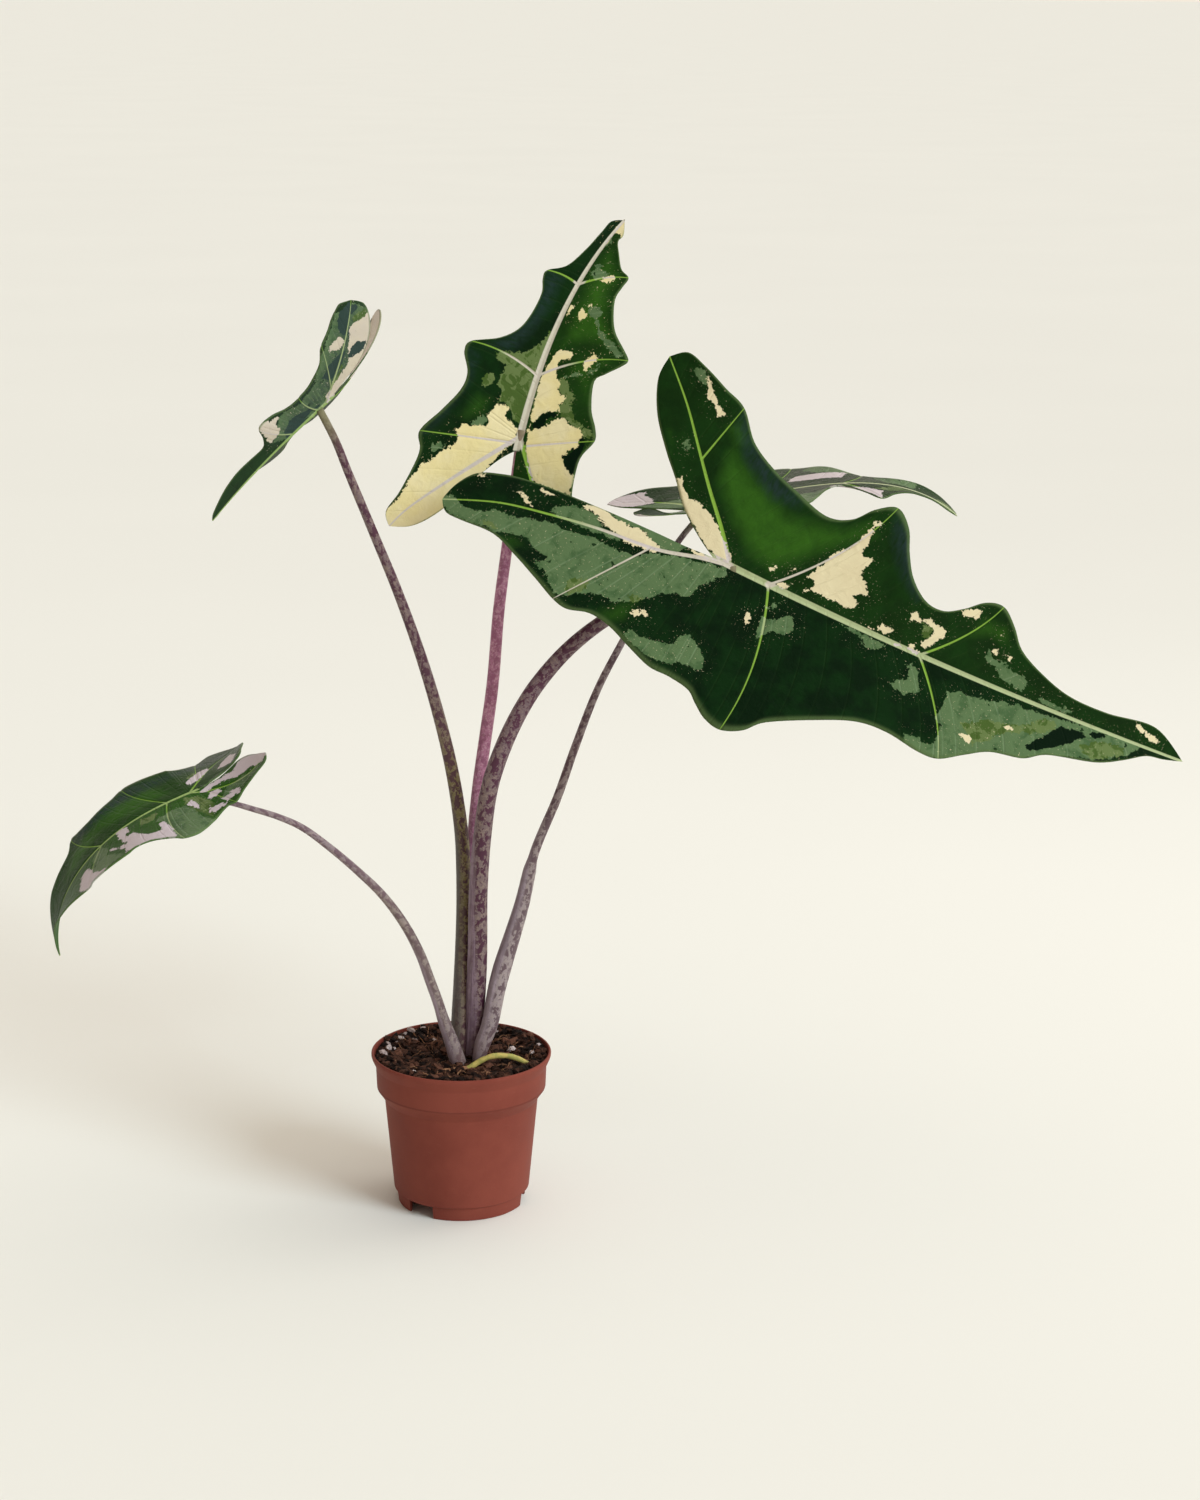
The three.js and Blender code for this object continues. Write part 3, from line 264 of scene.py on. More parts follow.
LEAVES = {
    "large": {
        **MOST_LEAVES,
        "seat": (171.7, -40, 442.4), "toward": (0.886, -0.244, -0.395), "face": (-0.05, -0.9, 0.44),
        "length": 318, "back": 180, "droop": (28, 14), "sweep": (-13.7, 0),
        "fold": ((6, 6, 4), (6, 6, 4)), "veins": (131, 27),
        "halves": (LARGE_LEFT, LARGE_RIGHT), "sections": (8, 7, 4, 5, 5),
        "fresh": (0.18, 0.03), "lit_cream": 0.75, "rib": 0.5, "pale": ((0, 0.8, 0, 0), (0, 0, 1.2, 0.62)),
        "petiole": [(6, 5, 80), (6.5, 5, 97), (8.5, 3, 120), (11, -3, 168), (12, -8, 220), (15, -12, 259),
                    (20, -15, 292), (30, -18, 322), (42, -20, 347), (53, -21, 364), (70, -22, 384),
                    (91, -24, 402), (122, -27, 421), (152, -31, 436)],
        "radii": [(0, 4.5), (0.03, 5.5), (0.09, 6.5), (0.2, 6.6), (0.5, 5.6), (0.8, 4.4), (1, 3)],
        "flush": 0.22, "yellow": 0.15, "spots": 1,
    },
    "left_upper": {
        **MOST_LEAVES,
        "seat": (-87.5, 20, 534.8), "toward": (-0.719, -0.224, -0.658), "face": (-0.689, 0.36, 0.63),
        "length": 104, "back": 80, "droop": (6, -28), "sweep": (8, -14), "twist": (0, 2),
        "fold": ((19, 14, 12), (30, 14, 12)), "veins": (28, 6), "halves": (UPPER_LEFT, UPPER_RIGHT),
        "fresh": (0.12, 0.12), "lit_cream": 0.4, "rib": 0.2, "rib_width": 0.7,
        "petiole": [(1, 4, 82), (-1, 3.5, 97), (-1.5, 3, 115), (0, 3, 149), (1.5, 4, 190), (1.5, 5, 225),
                    (0, 5.5, 256), (-6, 7, 296), (-15.5, 9, 336), (-27.5, 11, 376), (-41.5, 13.5, 415),
                    (-57, 16, 453), (-73, 18, 492), (-80.5, 19, 511)],
        "radii": [(0, 5), (0.05, 5.6), (0.35, 4.7), (0.7, 3.3), (1, 2.4)],
        "flush": 0.15, "yellow": 0.8, "dusk": 0.85, "spots": 0.9,
    },
    "back": {
        **MOST_LEAVES,
        "seat": (155.8, 90, 457.3), "toward": (0.955, -0.164, 0.248), "face": (-0.201, 0.259, 0.945),
        "length": 180, "back": 70, "droop": (52, -4), "late": 3, "sweep": (-28, 30), "twist": (9, 5),
        "fold": ((13, 23, -2), (8, -7, -18)), "veins": (97, 35), "halves": (BACK_LEFT, BACK_RIGHT),
        "fresh": (0.2, 0.2), "lit_cream": 0.1, "rib": 0.6,
        "petiole": [(10, -2, 80), (11.5, -5, 97), (14, -6, 110), (19, -5, 124), (24, -2, 150), (28, 2, 165),
                    (34, 7, 184), (40, 12, 204), (48, 19, 237), (63, 28, 273), (74, 36, 304), (89, 47, 342),
                    (105, 57, 372), (141, 82, 434)],
        "radii": [(0, 3), (0.04, 4), (0.08, 5.4), (0.2, 6.2), (0.36, 4.4), (0.38, 3.2), (0.7, 2.4),
                  (1, 1.9)],
        "flush": 0.12, "yellow": 0.3, "spots": 0.75, "lift": 0.38,
    },
    "upright": {
        **MOST_LEAVES,
        "seat": (37.4, 40, 511.2), "toward": (0.239, 0.2, 0.95), "face": (-0.09, -0.97, 0.227),
        "length": 164.5, "back": 95, "droop": (28, 12), "sweep": (23.8, 0),
        "fold": ((6, 8, 4), (6, 8, 4)), "ruffle": 2.5, "veins": (107, 41),
        "halves": (UPRIGHT_LEFT, UPRIGHT_RIGHT),
        "fresh": (0.06, 0.3), "lit_cream": 1, "rib": 0.95, "rib_width": 1.1,
        "pale": ((0.1, 0.65, 0, 0), (0.05, 0.5, 0, 0)),
        "petiole": [(5, 5, 80), (4.5, 9, 97), (4.5, 11.5, 115), (5, 14, 171), (6, 16, 212), (8, 18, 250),
                    (11, 20, 282), (15, 23, 312), (20, 27, 349), (24, 32, 398), (29, 38, 438),
                    (34, 44, 477)],
        "radii": [(0, 4.6), (0.05, 5), (0.4, 4.4), (1, 3.4)],
        "flush": 1, "yellow": 0, "spots": 0.6,
    },
    "low": {
        **MOST_LEAVES,
        "seat": (-171.6, -40, 291.7), "toward": (-0.849, -0.447, -0.283), "face": (-0.216, -0.196, 0.956),
        "length": 147, "back": 70, "droop": (86, -58), "sweep": (7, 19), "twist": (19, 32),
        "fold": ((-21, -6, 7), (1, 3, 8)), "ruffle": 2, "veins": (66, 16), "halves": (LOW_LEFT, LOW_RIGHT),
        "fresh": (0.85, 0.45), "lit_cream": 0.05, "rib": 0.25, "rib_width": 0.55,
        "petiole": [(0, -4, 80), (-1.5, -8, 97), (-3.5, -10, 106), (-6.5, -10.5, 116), (-11, -11, 129),
                    (-15, -11.5, 143), (-20, -12.5, 158), (-26, -14, 176), (-36, -16, 197), (-50, -19, 218),
                    (-65, -21, 234), (-83, -24, 251), (-101, -28, 266), (-115, -31, 273.5),
                    (-131, -34, 279.5), (-150, -37, 285.5)],
        "radii": [(0, 5), (0.06, 5.6), (0.2, 3.6), (0.6, 2.5), (1, 1.5)],
        "flush": 0.2, "yellow": 0.4, "spots": 0.6, "lift": 0.25,
    },
}
# Stalks end a little below the blade's middle surface, ahead of the seat. Flush, yellow and dusk change
# along them: shares of the length, and factors there. Ridges and lines are bumps, as on the root.
STALK = {
    "seat_below": 1.2, "seat_ahead": 5, "sides": 24, "step": 2.5,
    "ridges": (0.02, 3, 4), "lines": (0.012, 7, -9),
    "flush": ([0, 0.35, 0.6, 1], [0.3, 0.6, 1, 0.9]),
    "yellow": ([0, 0.1, 0.25, 0.45, 0.6], [0.4, 0.5, 1, 1, 0.15]),
    "dusk": ([0.5, 0.75, 1], [1, 0.35, 0.3]),
}

# Variegation and a painted sheen: patches of each colour on each leaf, as outlines in (along, across), across
# > 0 on the right half. Fresh patches and the painted sheen, a painted reflection, are soft, and the others
# have a ragged edge.
PATCHES = {
    ("large", "grey"): [
        [(-188, 42), (-184, 36), (-177, 37), (-172, 40), (-166, 40), (-159, 39), (-151, 34), (-144, 33),
         (-134, 32), (-121, 28), (-112, 25), (-105, 27), (-94, 24), (-87, 23), (-80, 23), (-72, 23),
         (-66, 23), (-58, 23), (-45, 15), (-31, 9), (-18, 7), (-2, 3), (1, 6), (-4, 13), (-9, 18),
         (-11, 24), (-11, 27), (-15, 32), (-20, 32), (-27, 36), (-37, 43), (-39, 47), (-45, 51), (-54, 56),
         (-57, 55), (-66, 56), (-77, 62), (-86, 68), (-90, 67), (-96, 61), (-101, 57), (-106, 57),
         (-110, 54), (-105, 51), (-104, 48), (-110, 47), (-116, 46), (-120, 43), (-125, 42), (-136, 45),
         (-139, 48), (-149, 47), (-158, 48), (-167, 49), (-179, 48)],
        [(-121, 18), (-115, 13), (-105, 8), (-97, 8), (-87, 9), (-87, 13), (-81, 15), (-74, 15), (-68, 17),
         (-83, 19), (-100, 20), (-114, 20)],
        [(-88, 0), (-79, 0), (-70, 0), (-61, 0), (-50, 0), (-36, 0), (-28, 1), (-30, 4), (-37, 9),
         (-44, 11), (-49, 8), (-54, 9), (-54, 5), (-61, 5), (-68, 5), (-74, 6), (-82, 4)],
        [(-37, 72), (-36, 68), (-32, 67), (-28, 68), (-21, 67), (-15, 66), (-8, 63), (-5, 60), (-6, 57),
         (-3, 54), (3, 54), (7, 58), (12, 61), (15, 65), (16, 71), (12, 72), (7, 71), (2, 72), (-2, 75),
         (-7, 75), (-12, 77), (-18, 77), (-23, 77), (-29, 75)],
        [(36, 38), (35, 33), (34, 27), (33, 20), (37, 21), (43, 16), (49, 12), (53, 16), (54, 20), (51, 25),
         (48, 26), (42, 26), (39, 30), (38, 35)],
        [(31, 15), (39, 7), (36, 14)],
        [(79, 3), (85, 2), (96, 3), (106, 3), (110, 4), (107, 7), (102, 10), (97, 9), (93, 5), (86, 6)],
        [(126, 27), (121, 27), (122, 24), (126, 20), (130, 16), (130, 13), (125, 10), (130, 7), (135, 12),
         (138, 18), (140, 22), (136, 25), (132, 28)],
        [(156, 15), (163, 12), (173, 11), (182, 9), (192, 7), (200, 5), (208, 5), (229, 3), (252, 0),
         (270, 0), (288, 0), (286, 1), (279, 8), (268, 14), (255, 21), (245, 22), (223, 30), (212, 37),
         (200, 40), (182, 46), (169, 56), (160, 59), (149, 60), (141, 55), (142, 51), (148, 50), (153, 51),
         (158, 51), (160, 45), (160, 38), (155, 35), (155, 29), (156, 23)],
        [(168, -18), (171, -21), (176, -16), (183, -16), (189, -14), (195, -13), (201, -11), (201, -5),
         (197, -4), (189, -6), (183, -7), (179, -12), (174, -12)],
        [(211, -4), (218, -6), (223, -4), (230, -4), (235, -4), (231, -1), (220, -1)],
        [(-63, -58), (-61, -61), (-58, -58), (-57, -53), (-60, -54)],
        [(-77, -102), (-75, -105), (-70, -105), (-66, -101), (-66, -97), (-72, -98)],
    ],
    ("large", "cream"): [
        [(-103, 6), (-92, 2), (-86, 3), (-82, 4), (-74, 6), (-61, 5), (-56, 5), (-53, 8), (-49, 8),
         (-42, 11), (-49, 15), (-59, 16), (-68, 16), (-73, 14), (-80, 13), (-87, 13), (-86, 8), (-94, 8),
         (-100, 8)],
        [(-29, 2), (-21, 1), (-12, 1), (-6, 0), (-14, 3), (-22, 4)],
        [(-133, 8), (-126, 7), (-121, 7), (-125, 10), (-131, 10)],
        [(-146, 15), (-140, 15), (-134, 18), (-130, 21), (-135, 20), (-140, 18)],
        [(-176, 15), (-170, 13), (-170, 16), (-174, 18)],
        [(-41, 58), (-40, 54), (-33, 51), (-30, 53), (-31, 56), (-34, 56), (-39, 58)],
        [(172, 37), (177, 35), (181, 38), (179, 42), (177, 39)], [(196, 22), (203, 18), (202, 22)],
        [(23, 24), (25, 21), (27, 28), (26, 32)],
        [(47, -15), (49, -21), (53, -28), (54, -33), (58, -38), (63, -43), (67, -51), (69, -57), (70, -65),
         (72, -63), (72, -57), (72, -52), (72, -46), (73, -42), (79, -43), (78, -39), (76, -34), (77, -30),
         (82, -28), (84, -23), (90, -21), (85, -20), (80, -19), (76, -16), (82, -14), (83, -9), (77, -8),
         (71, -9), (65, -8), (59, -9), (53, -8), (49, -5), (48, -7), (54, -12), (51, -14)],
        [(23, -9), (25, -13), (27, -13), (25, -8)], [(34, -12), (38, -17), (37, -13)],
        [(31, -3), (41, -7), (38, -2), (34, -2)], [(71, -67), (75, -66), (75, -63), (71, -64)],
        [(114, -21), (118, -24), (123, -20), (128, -23), (132, -22), (137, -21), (141, -20), (140, -16),
         (137, -11), (134, -7), (133, -3), (129, -8), (133, -13), (133, -18), (129, -20), (123, -19),
         (117, -18)],
        [(94, -2), (99, -4), (102, -8), (110, -9), (110, -6), (106, -4), (99, -3), (97, -1)],
        [(114, 0), (121, -1), (126, -6), (126, -1), (131, -2), (129, 0), (119, 0)],
        [(143, -36), (149, -39), (157, -42), (157, -37), (152, -34), (146, -34)],
        [(171, -23), (176, -23), (176, -19), (173, -20)], [(180, -21), (186, -22), (185, -19), (180, -19)],
        [(173, -33), (176, -34), (176, -32), (173, -31)],
        [(276, -12), (283, -11), (290, -9), (298, -7), (295, -4), (287, -6), (280, -9)],
        [(-57, -35), (-53, -37), (-50, -33), (-43, -26), (-37, -27), (-32, -25), (-25, -24), (-21, -21),
         (-14, -15), (-2, -6), (-2, -1), (-11, -1), (-22, -6), (-31, -12), (-41, -18), (-47, -24),
         (-53, -28)],
        [(-68, -102), (-63, -99), (-59, -94), (-55, -90), (-48, -86), (-47, -84), (-51, -82), (-55, -86),
         (-61, -90)],
    ],
    ("large", "olive"): [
        [(170, 30), (178, 26), (187, 21), (193, 20), (206, 17), (214, 11), (219, 6), (226, 6), (228, 11),
         (222, 15), (213, 19), (207, 22), (198, 25), (193, 28), (188, 35), (183, 38), (180, 43), (180, 36),
         (175, 34)],
        [(-86, 55), (-79, 51), (-73, 49), (-73, 52), (-73, 57), (-74, 60), (-80, 63), (-84, 62)],
        [(245, 14), (255, 8), (265, 6), (276, 5), (274, 10), (262, 18), (252, 20)],
        [(-155, 44), (-148, 42), (-142, 44), (-144, 47), (-152, 47)],
        [(-46, 52), (-47, 46), (-38, 43), (-40, 48)],
        [(125, -19), (131, -19), (133, -17), (132, -11), (128, -12)],
    ],
    ("large", "dark"): [
        [(223, 16), (230, 8), (243, 5), (248, 8), (242, 13), (234, 19), (225, 25), (214, 31), (211, 28),
         (217, 22)],
        [(250, 4), (263, 0), (258, 5), (253, 8)],
    ],
    ("large", "painted_sheen"): [
        [(79, -76), (93, -73), (110, -56), (124, -42), (115, -29), (99, -41), (85, -59)],
        [(-39, -96), (-23, -79), (-3, -67), (23, -58), (23, -52), (3, -49), (-23, -64), (-38, -82)],
    ],
    ("large", "fresh"): [
        [(-34, -73), (-14, -62), (18, -49), (54, -55), (68, -69), (79, -56), (53, -34), (40, -18), (25, -6),
         (7, -8), (-16, -25), (-35, -44), (-38, -64)],
        [(-46, -78), (-36, -90), (-21, -76), (-31, -66)],
        [(151, -19), (159, -40), (177, -40), (184, -26), (168, -26)],
        [(-77, -60), (-74, -65), (-59, -40), (-67, -47)],
        [(-59, 66), (-47, 52), (-39, 47), (-41, 63), (-51, 72)],
        [(-138, 50), (-130, 45), (-122, 47), (-128, 54)],
    ],
    ("upright", "cream"): [
        [(0, -3), (5, -1), (7, -8), (11, -13), (15, -12), (18, -15), (16, -19), (14, -21), (7, -24),
         (4, -22), (1, -24), (-1, -36), (-5, -42), (-9, -39), (-14, -39), (-17, -42), (-22, -48),
         (-29, -53), (-35, -59), (-41, -61), (-45, -63), (-54, -66), (-63, -71), (-70, -74), (-77, -72),
         (-79, -66), (-76, -59), (-69, -49), (-59, -37), (-41, -29), (-27, -17), (-1, -2)],
        [(46, 3), (52, 5), (60, 7), (62, 10), (63, 17), (60, 18), (55, 11), (49, 10), (44, 13), (41, 16),
         (36, 16), (33, 19), (33, 23), (29, 21), (27, 19), (23, 22), (20, 15), (18, 10), (14, 8), (8, 5),
         (4, 5), (8, 10), (12, 16), (18, 21), (19, 26), (16, 31), (15, 38), (11, 40), (7, 39), (3, 40),
         (-1, 38), (1, 36), (-4, 34), (-6, 31), (-11, 33), (-14, 37), (-15, 40), (-20, 42), (-29, 43),
         (-27, 22), (-27, 17), (-20, 11), (-12, 8), (-4, 5), (13, 4), (30, 3)],
        [(54, 27), (59, 26), (63, 28), (69, 32), (64, 34), (58, 31), (53, 30)],
        [(89, 9), (93, 10), (93, 13), (88, 15), (85, 13), (87, 10)],
        [(93, 3), (91, 5), (86, 4), (85, 3), (89, 2)],
        [(116, 12), (120, 13), (123, 18), (122, 19), (117, 17), (114, 14)],
        [(152, 0), (159, 0), (167, 1), (157, 9), (149, 10), (152, 5), (151, 1), (146, 0)],
        [(96, 14), (98, 14), (97, 16), (95, 15)], [(104, 25), (105, 26), (102, 27)],
        [(94, 14), (93, 16), (91, 16)], [(143, 0), (147, 0), (142, 1)],
    ],
    ("upright", "olive"): [
        [(76, -3), (68, -3), (63, -5), (56, -9), (52, -15), (50, -22), (47, -31), (43, -27), (42, -21),
         (37, -21), (32, -24), (28, -25), (27, -20), (24, -18), (17, -19), (19, -15), (16, -11), (10, -8),
         (6, -1), (19, -1), (33, -1), (40, 0), (55, 0), (66, 0)],
        [(28, -33), (32, -32), (34, -27), (31, -25), (28, -26), (25, -31)],
        [(43, 14), (44, 20), (37, 25), (34, 28), (29, 25), (29, 21), (35, 18)],
        [(23, 19), (29, 22), (27, 29), (20, 32), (17, 41), (12, 48), (8, 45), (13, 39), (17, 30), (20, 23)],
        [(32, 2), (34, 4), (28, 6), (15, 6), (13, 4), (23, 3)],
    ],
    ("upright", "grey"): [
        [(0, -33), (6, -29), (8, -24), (4, -23), (0, -26)],
        [(-24, -55), (-19, -54), (-16, -48), (-17, -46), (-20, -48), (-24, -53)],
        [(98, 13), (99, 20), (95, 24), (90, 23), (83, 29), (79, 39), (73, 49), (70, 46), (75, 36), (80, 29),
         (88, 22), (93, 15)],
        [(45, 16), (48, 19), (52, 27), (52, 31), (55, 31), (59, 35), (67, 34), (66, 36), (58, 37), (54, 35),
         (49, 28)],
        [(118, 4), (124, 4), (127, 6), (123, 9), (124, 16), (118, 12), (115, 8)],
        [(143, 0), (147, 0), (149, 1), (144, 4), (140, 2)],
    ],
    ("upright", "dark"): [
        [(7, 5), (12, 7), (17, 10), (21, 15), (21, 20), (18, 20), (16, 15), (11, 14), (8, 10)],
        [(-6, 31), (-4, 34), (1, 36), (-1, 37), (3, 40), (7, 39), (9, 40), (8, 43), (1, 43), (-6, 42),
         (-13, 43), (-15, 40), (-14, 37), (-11, 33)],
    ],
    ("upright", "painted_sheen"): [
        [(107, -22), (106, -10), (84, -9), (63, -14), (49, -21), (49, -39), (55, -31), (65, -22), (78, -17),
         (94, -19)],
        [(44, -50), (41, -40), (26, -40), (2, -50), (-12, -59), (-13, -62), (1, -57), (20, -47), (31, -44)],
    ],
    ("upright", "fresh"): [
        [(140, 3), (143, 8), (131, 18), (130, 25), (111, 26), (94, 32), (75, 48), (72, 38), (70, 25),
         (65, 13), (51, 7), (71, 5), (94, 4), (117, 1)],
        [(51, 12), (59, 19), (65, 27), (70, 44), (64, 46), (57, 40), (52, 38), (38, 41), (20, 45), (38, 30),
         (46, 23)],
        [(20, -34), (19, -24), (8, -26), (1, -36), (3, -42)],
    ],
    ("low", "cream"): [
        [(-6, -4), (-14, -2), (-22, -3), (-30, -7), (-28, -11), (-21, -8), (-14, -7), (-7, -8)],
        [(-12, -26), (-18, -28), (-23, -31), (-22, -35), (-16, -32), (-12, -31)],
        [(-4, 15), (-17, 26), (-25, 28), (-23, 22), (-12, 13), (-5, 10)],
        [(-1, -32), (-5, -28), (-10, -29), (-10, -34), (-6, -34), (-2, -36)],
        [(-24, -10), (-29, -7), (-36, -4), (-45, -5), (-52, -15), (-55, -35), (-53, -45), (-48, -41),
         (-46, -33), (-41, -32), (-38, -24), (-34, -20), (-31, -17), (-27, -18)],
        [(-27, 13), (-35, 23), (-42, 29), (-43, 16), (-37, 5), (-32, 10)],
        [(-5, -17), (-10, -11), (-15, -12), (-15, -18), (-11, -19), (-7, -19)],
        [(-18, -25), (-22, -28), (-23, -31), (-18, -30)], [(0, -30), (-4, -25), (-4, -30), (0, -34)],
        [(8, -14), (3, -9), (2, -17), (3, -23), (5, -19)],
        [(31, -23), (28, -22), (27, -30), (27, -40), (28, -49), (30, -52), (34, -49), (41, -44), (47, -43),
         (52, -43), (57, -43), (59, -43), (56, -35), (59, -30), (65, -20), (63, -15), (60, -25), (54, -28),
         (51, -17), (47, -15), (44, -22), (44, -26), (39, -33), (32, -34)],
        [(53, -1), (50, 0), (47, -4), (47, -12), (51, -11), (51, -23), (54, -25), (54, -17), (56, -13)],
        [(88, -17), (83, -13), (80, -17), (80, -26), (77, -37), (72, -42), (76, -46), (81, -45), (85, -47),
         (91, -42), (93, -31), (90, -27)],
    ],
    ("low", "grey"): [
        [(32, -19), (27, -15), (21, -14), (13, -13), (8, -14), (6, -21), (6, -34), (2, -42), (-2, -43),
         (5, -50), (14, -59), (21, -59), (27, -58), (29, -52), (27, -34), (28, -22)],
        [(73, -5), (66, -4), (64, -15), (67, -22), (64, -33), (60, -40), (65, -43), (70, -44), (74, -40),
         (79, -32), (81, -21), (76, -24), (76, -10)],
        [(-14, -21), (-22, -18), (-29, -20), (-43, -34), (-36, -33), (-25, -31), (-19, -27), (-12, -27)],
        [(-6, 0), (-13, 1), (-25, 4), (-30, 3), (-22, -2), (-14, -2)],
    ],
    ("low", "olive"): [
        [(5, -4), (-2, -7), (-6, -19), (-6, -34), (0, -37), (6, -26), (8, -14)],
        [(-7, 22), (-18, 30), (-16, 21), (-7, 12)], [(38, -5), (26, -8), (30, -15), (39, -13)],
    ],
    ("low", "painted_sheen"): [
        [(-46, 60), (-43, 36), (6, 27), (29, 28), (57, 26), (81, 28), (76, 43), (46, 43), (27, 48),
         (2, 37)],
    ],
    ("low", "fresh"): [
        [(12, 36), (1, 4), (35, 2), (59, 9), (87, 0), (109, 7), (87, 31), (47, 40)],
        [(46, -11), (30, -15), (28, -23), (39, -28)],
    ],
    ("left_upper", "cream"): [
        [(-22, 8), (-60, 3), (-95, 4), (-98, 46), (-55, 48), (-28, 32)],
        [(-49, -32), (-57, -26), (-74, -16), (-72, 0), (-1, 0), (-1, -1), (-7, -7), (-17, -9), (-26, -11),
         (-33, -14), (-36, -21), (-43, -25)],
        [(-26, -36), (-32, -37), (-38, -35), (-40, -31), (-37, -27), (-32, -28), (-27, -32), (-24, -32)],
        [(43, -31), (39, -33), (35, -28), (28, -21), (32, -19), (33, -13), (37, -10), (42, -10), (42, -17),
         (43, -26)],
    ],
    ("left_upper", "olive"): [
        [(-63, -29), (-67, -26), (-65, -18), (-68, -8), (-66, -4), (-61, -16), (-56, -22), (-54, -29),
         (-56, -33)],
        [(-11, -10), (-18, -12), (-26, -18), (-28, -16), (-20, -9), (-11, -7)],
    ],
    ("left_upper", "grey"): [
        [(-18, -39), (-33, -43), (-53, -47), (-67, -39), (-68, -23), (-68, -5), (-48, 0), (-33, 0),
         (-18, 0), (0, 0), (16, -2), (34, -2), (42, -8), (35, -15), (28, -21), (12, -19), (-1, -22)],
    ],
    ("left_upper", "painted_sheen"): [
        [(-22, -38), (-48, -46), (-66, -38), (-70, -5), (-40, 2), (30, 2), (42, -8), (35, -18), (20, -22),
         (-1, -24)],
    ],
    ("left_upper", "dark"): [
        [(-8, -22), (-19, -26), (-31, -24), (-36, -22), (-29, -18), (-21, -14), (-13, -14)],
        [(-32, -16), (-37, -19), (-45, -17), (-48, -10), (-47, -7), (-39, -8), (-34, -12)],
        [(-42, -36), (-45, -41), (-55, -46), (-66, -43), (-67, -34), (-63, -32), (-58, -37), (-49, -34),
         (-44, -26), (-42, -30)],
        [(31, -8), (24, -12), (13, -9), (2, -3), (4, -1), (10, -4), (17, -1), (28, 0), (33, 0)],
    ],
    ("back", "cream"): [
        [(105, -34), (98, -20), (76, -18), (60, -22), (66, -35), (90, -33)],
        [(-30, -34), (-34, -58), (-50, -62), (-54, -50), (-44, -34)],
        [(120, 30), (112, 22), (98, 14), (88, 24), (92, 12), (108, 10), (122, 16)],
        [(-10, 8), (-26, 26), (-44, 50), (-50, 44), (-34, 24)],
    ],
    ("back", "grey"): [
        [(110, -32), (96, -46), (80, -58), (72, -50), (82, -36), (100, -33)],
        [(-10, -8), (-12, -28), (-38, -32), (-36, -18)],
        [(150, -14), (136, -15), (120, -18), (126, -6), (146, -4)],
        [(86, 26), (74, 56), (58, 60), (40, 50), (56, 30)], [(20, 10), (10, 40), (-20, 60), (-16, 30)],
    ],
    ("back", "olive"): [
        [(146, 4), (130, 14), (118, 12), (132, 2)], [(178, -4), (178, 4), (160, 5), (164, -5)],
    ],
}


# Smooth lines and surfaces.
def cubic(start, end, speed, end_speed, t):
    """Points at t of the cubic curve between two points, given its speeds there."""
    return ((2 * start - 2 * end + speed + end_speed) * t ** 3
            + (-3 * start + 3 * end - 2 * speed - end_speed) * t ** 2 + speed * t + start)


def at_shares(line, shares):
    """Points at shares of the length of a finely broken line."""
    length = np.concatenate([[0], np.cumsum(np.linalg.norm(np.diff(line, axis=0), axis=1))])
    return np.stack([np.interp(shares, length / length[-1], values) for values in line.T], axis=1)


def along_line(points, shares, start=0, end=None, samples=40):
    """Points of the smooth line through 2-D points, at shares of its length from one to another point."""
    points = np.array(points, float)
    shares = np.asarray(shares, float)
    if len(points) == 2:
        return points[0] + shares[:, None] * (points[1] - points[0])
    last = len(points) - 1
    end = last if end is None else end
    t = np.linspace(0, 1, samples, endpoint=False)[:, None]
    pieces = []
    for k in range(start, end):
        before, here, there, after = (points[min(max(j, 0), last)] for j in range(k - 1, k + 3))
        pieces.append(cubic(here, there, (there - before) / 2, (after - here) / 2, t))
    return at_shares(np.vstack([*pieces, points[end]]), shares)


def centripetal(points, count, samples=24):
    """count + 1 evenly spaced points of the centripetal Catmull-Rom curve through 3-D points."""
    points = np.array(points, float)
    points = np.vstack([2 * points[0] - points[1], points, 2 * points[-1] - points[-2]])
    t = np.linspace(0, 1, samples, endpoint=False)[:, None]
    pieces = []
    for p0, p1, p2, p3 in zip(points, points[1:], points[2:], points[3:]):
        d0, d1, d2 = (max(np.linalg.norm(b - a) ** 0.5, 1e-4) for a, b in ((p0, p1), (p1, p2), (p2, p3)))
        speed = ((p1 - p0) / d0 - (p2 - p0) / (d0 + d1) + (p2 - p1) / d1) * d1
        end_speed = ((p2 - p1) / d1 - (p3 - p1) / (d1 + d2) + (p3 - p2) / d2) * d1
        pieces.append(cubic(p1, p2, speed, end_speed, t))
    return at_shares(np.vstack([*pieces, points[-2]]), np.linspace(0, 1, count + 1))


def normalised(vectors):
    """Vectors at length 1."""
    return vectors / np.maximum(np.linalg.norm(vectors, axis=-1, keepdims=True), 1e-12)


def circle(sides):
    """Angles of evenly spaced points round a circle."""
    return FULL_TURN * np.arange(sides) / sides


def ring(radius, height, sides):
    """Evenly spaced points of a level circle round the axis."""
    turn = circle(sides)
    return np.stack([radius * np.cos(turn), radius * np.sin(turn), np.full(sides, height, float)], axis=1)


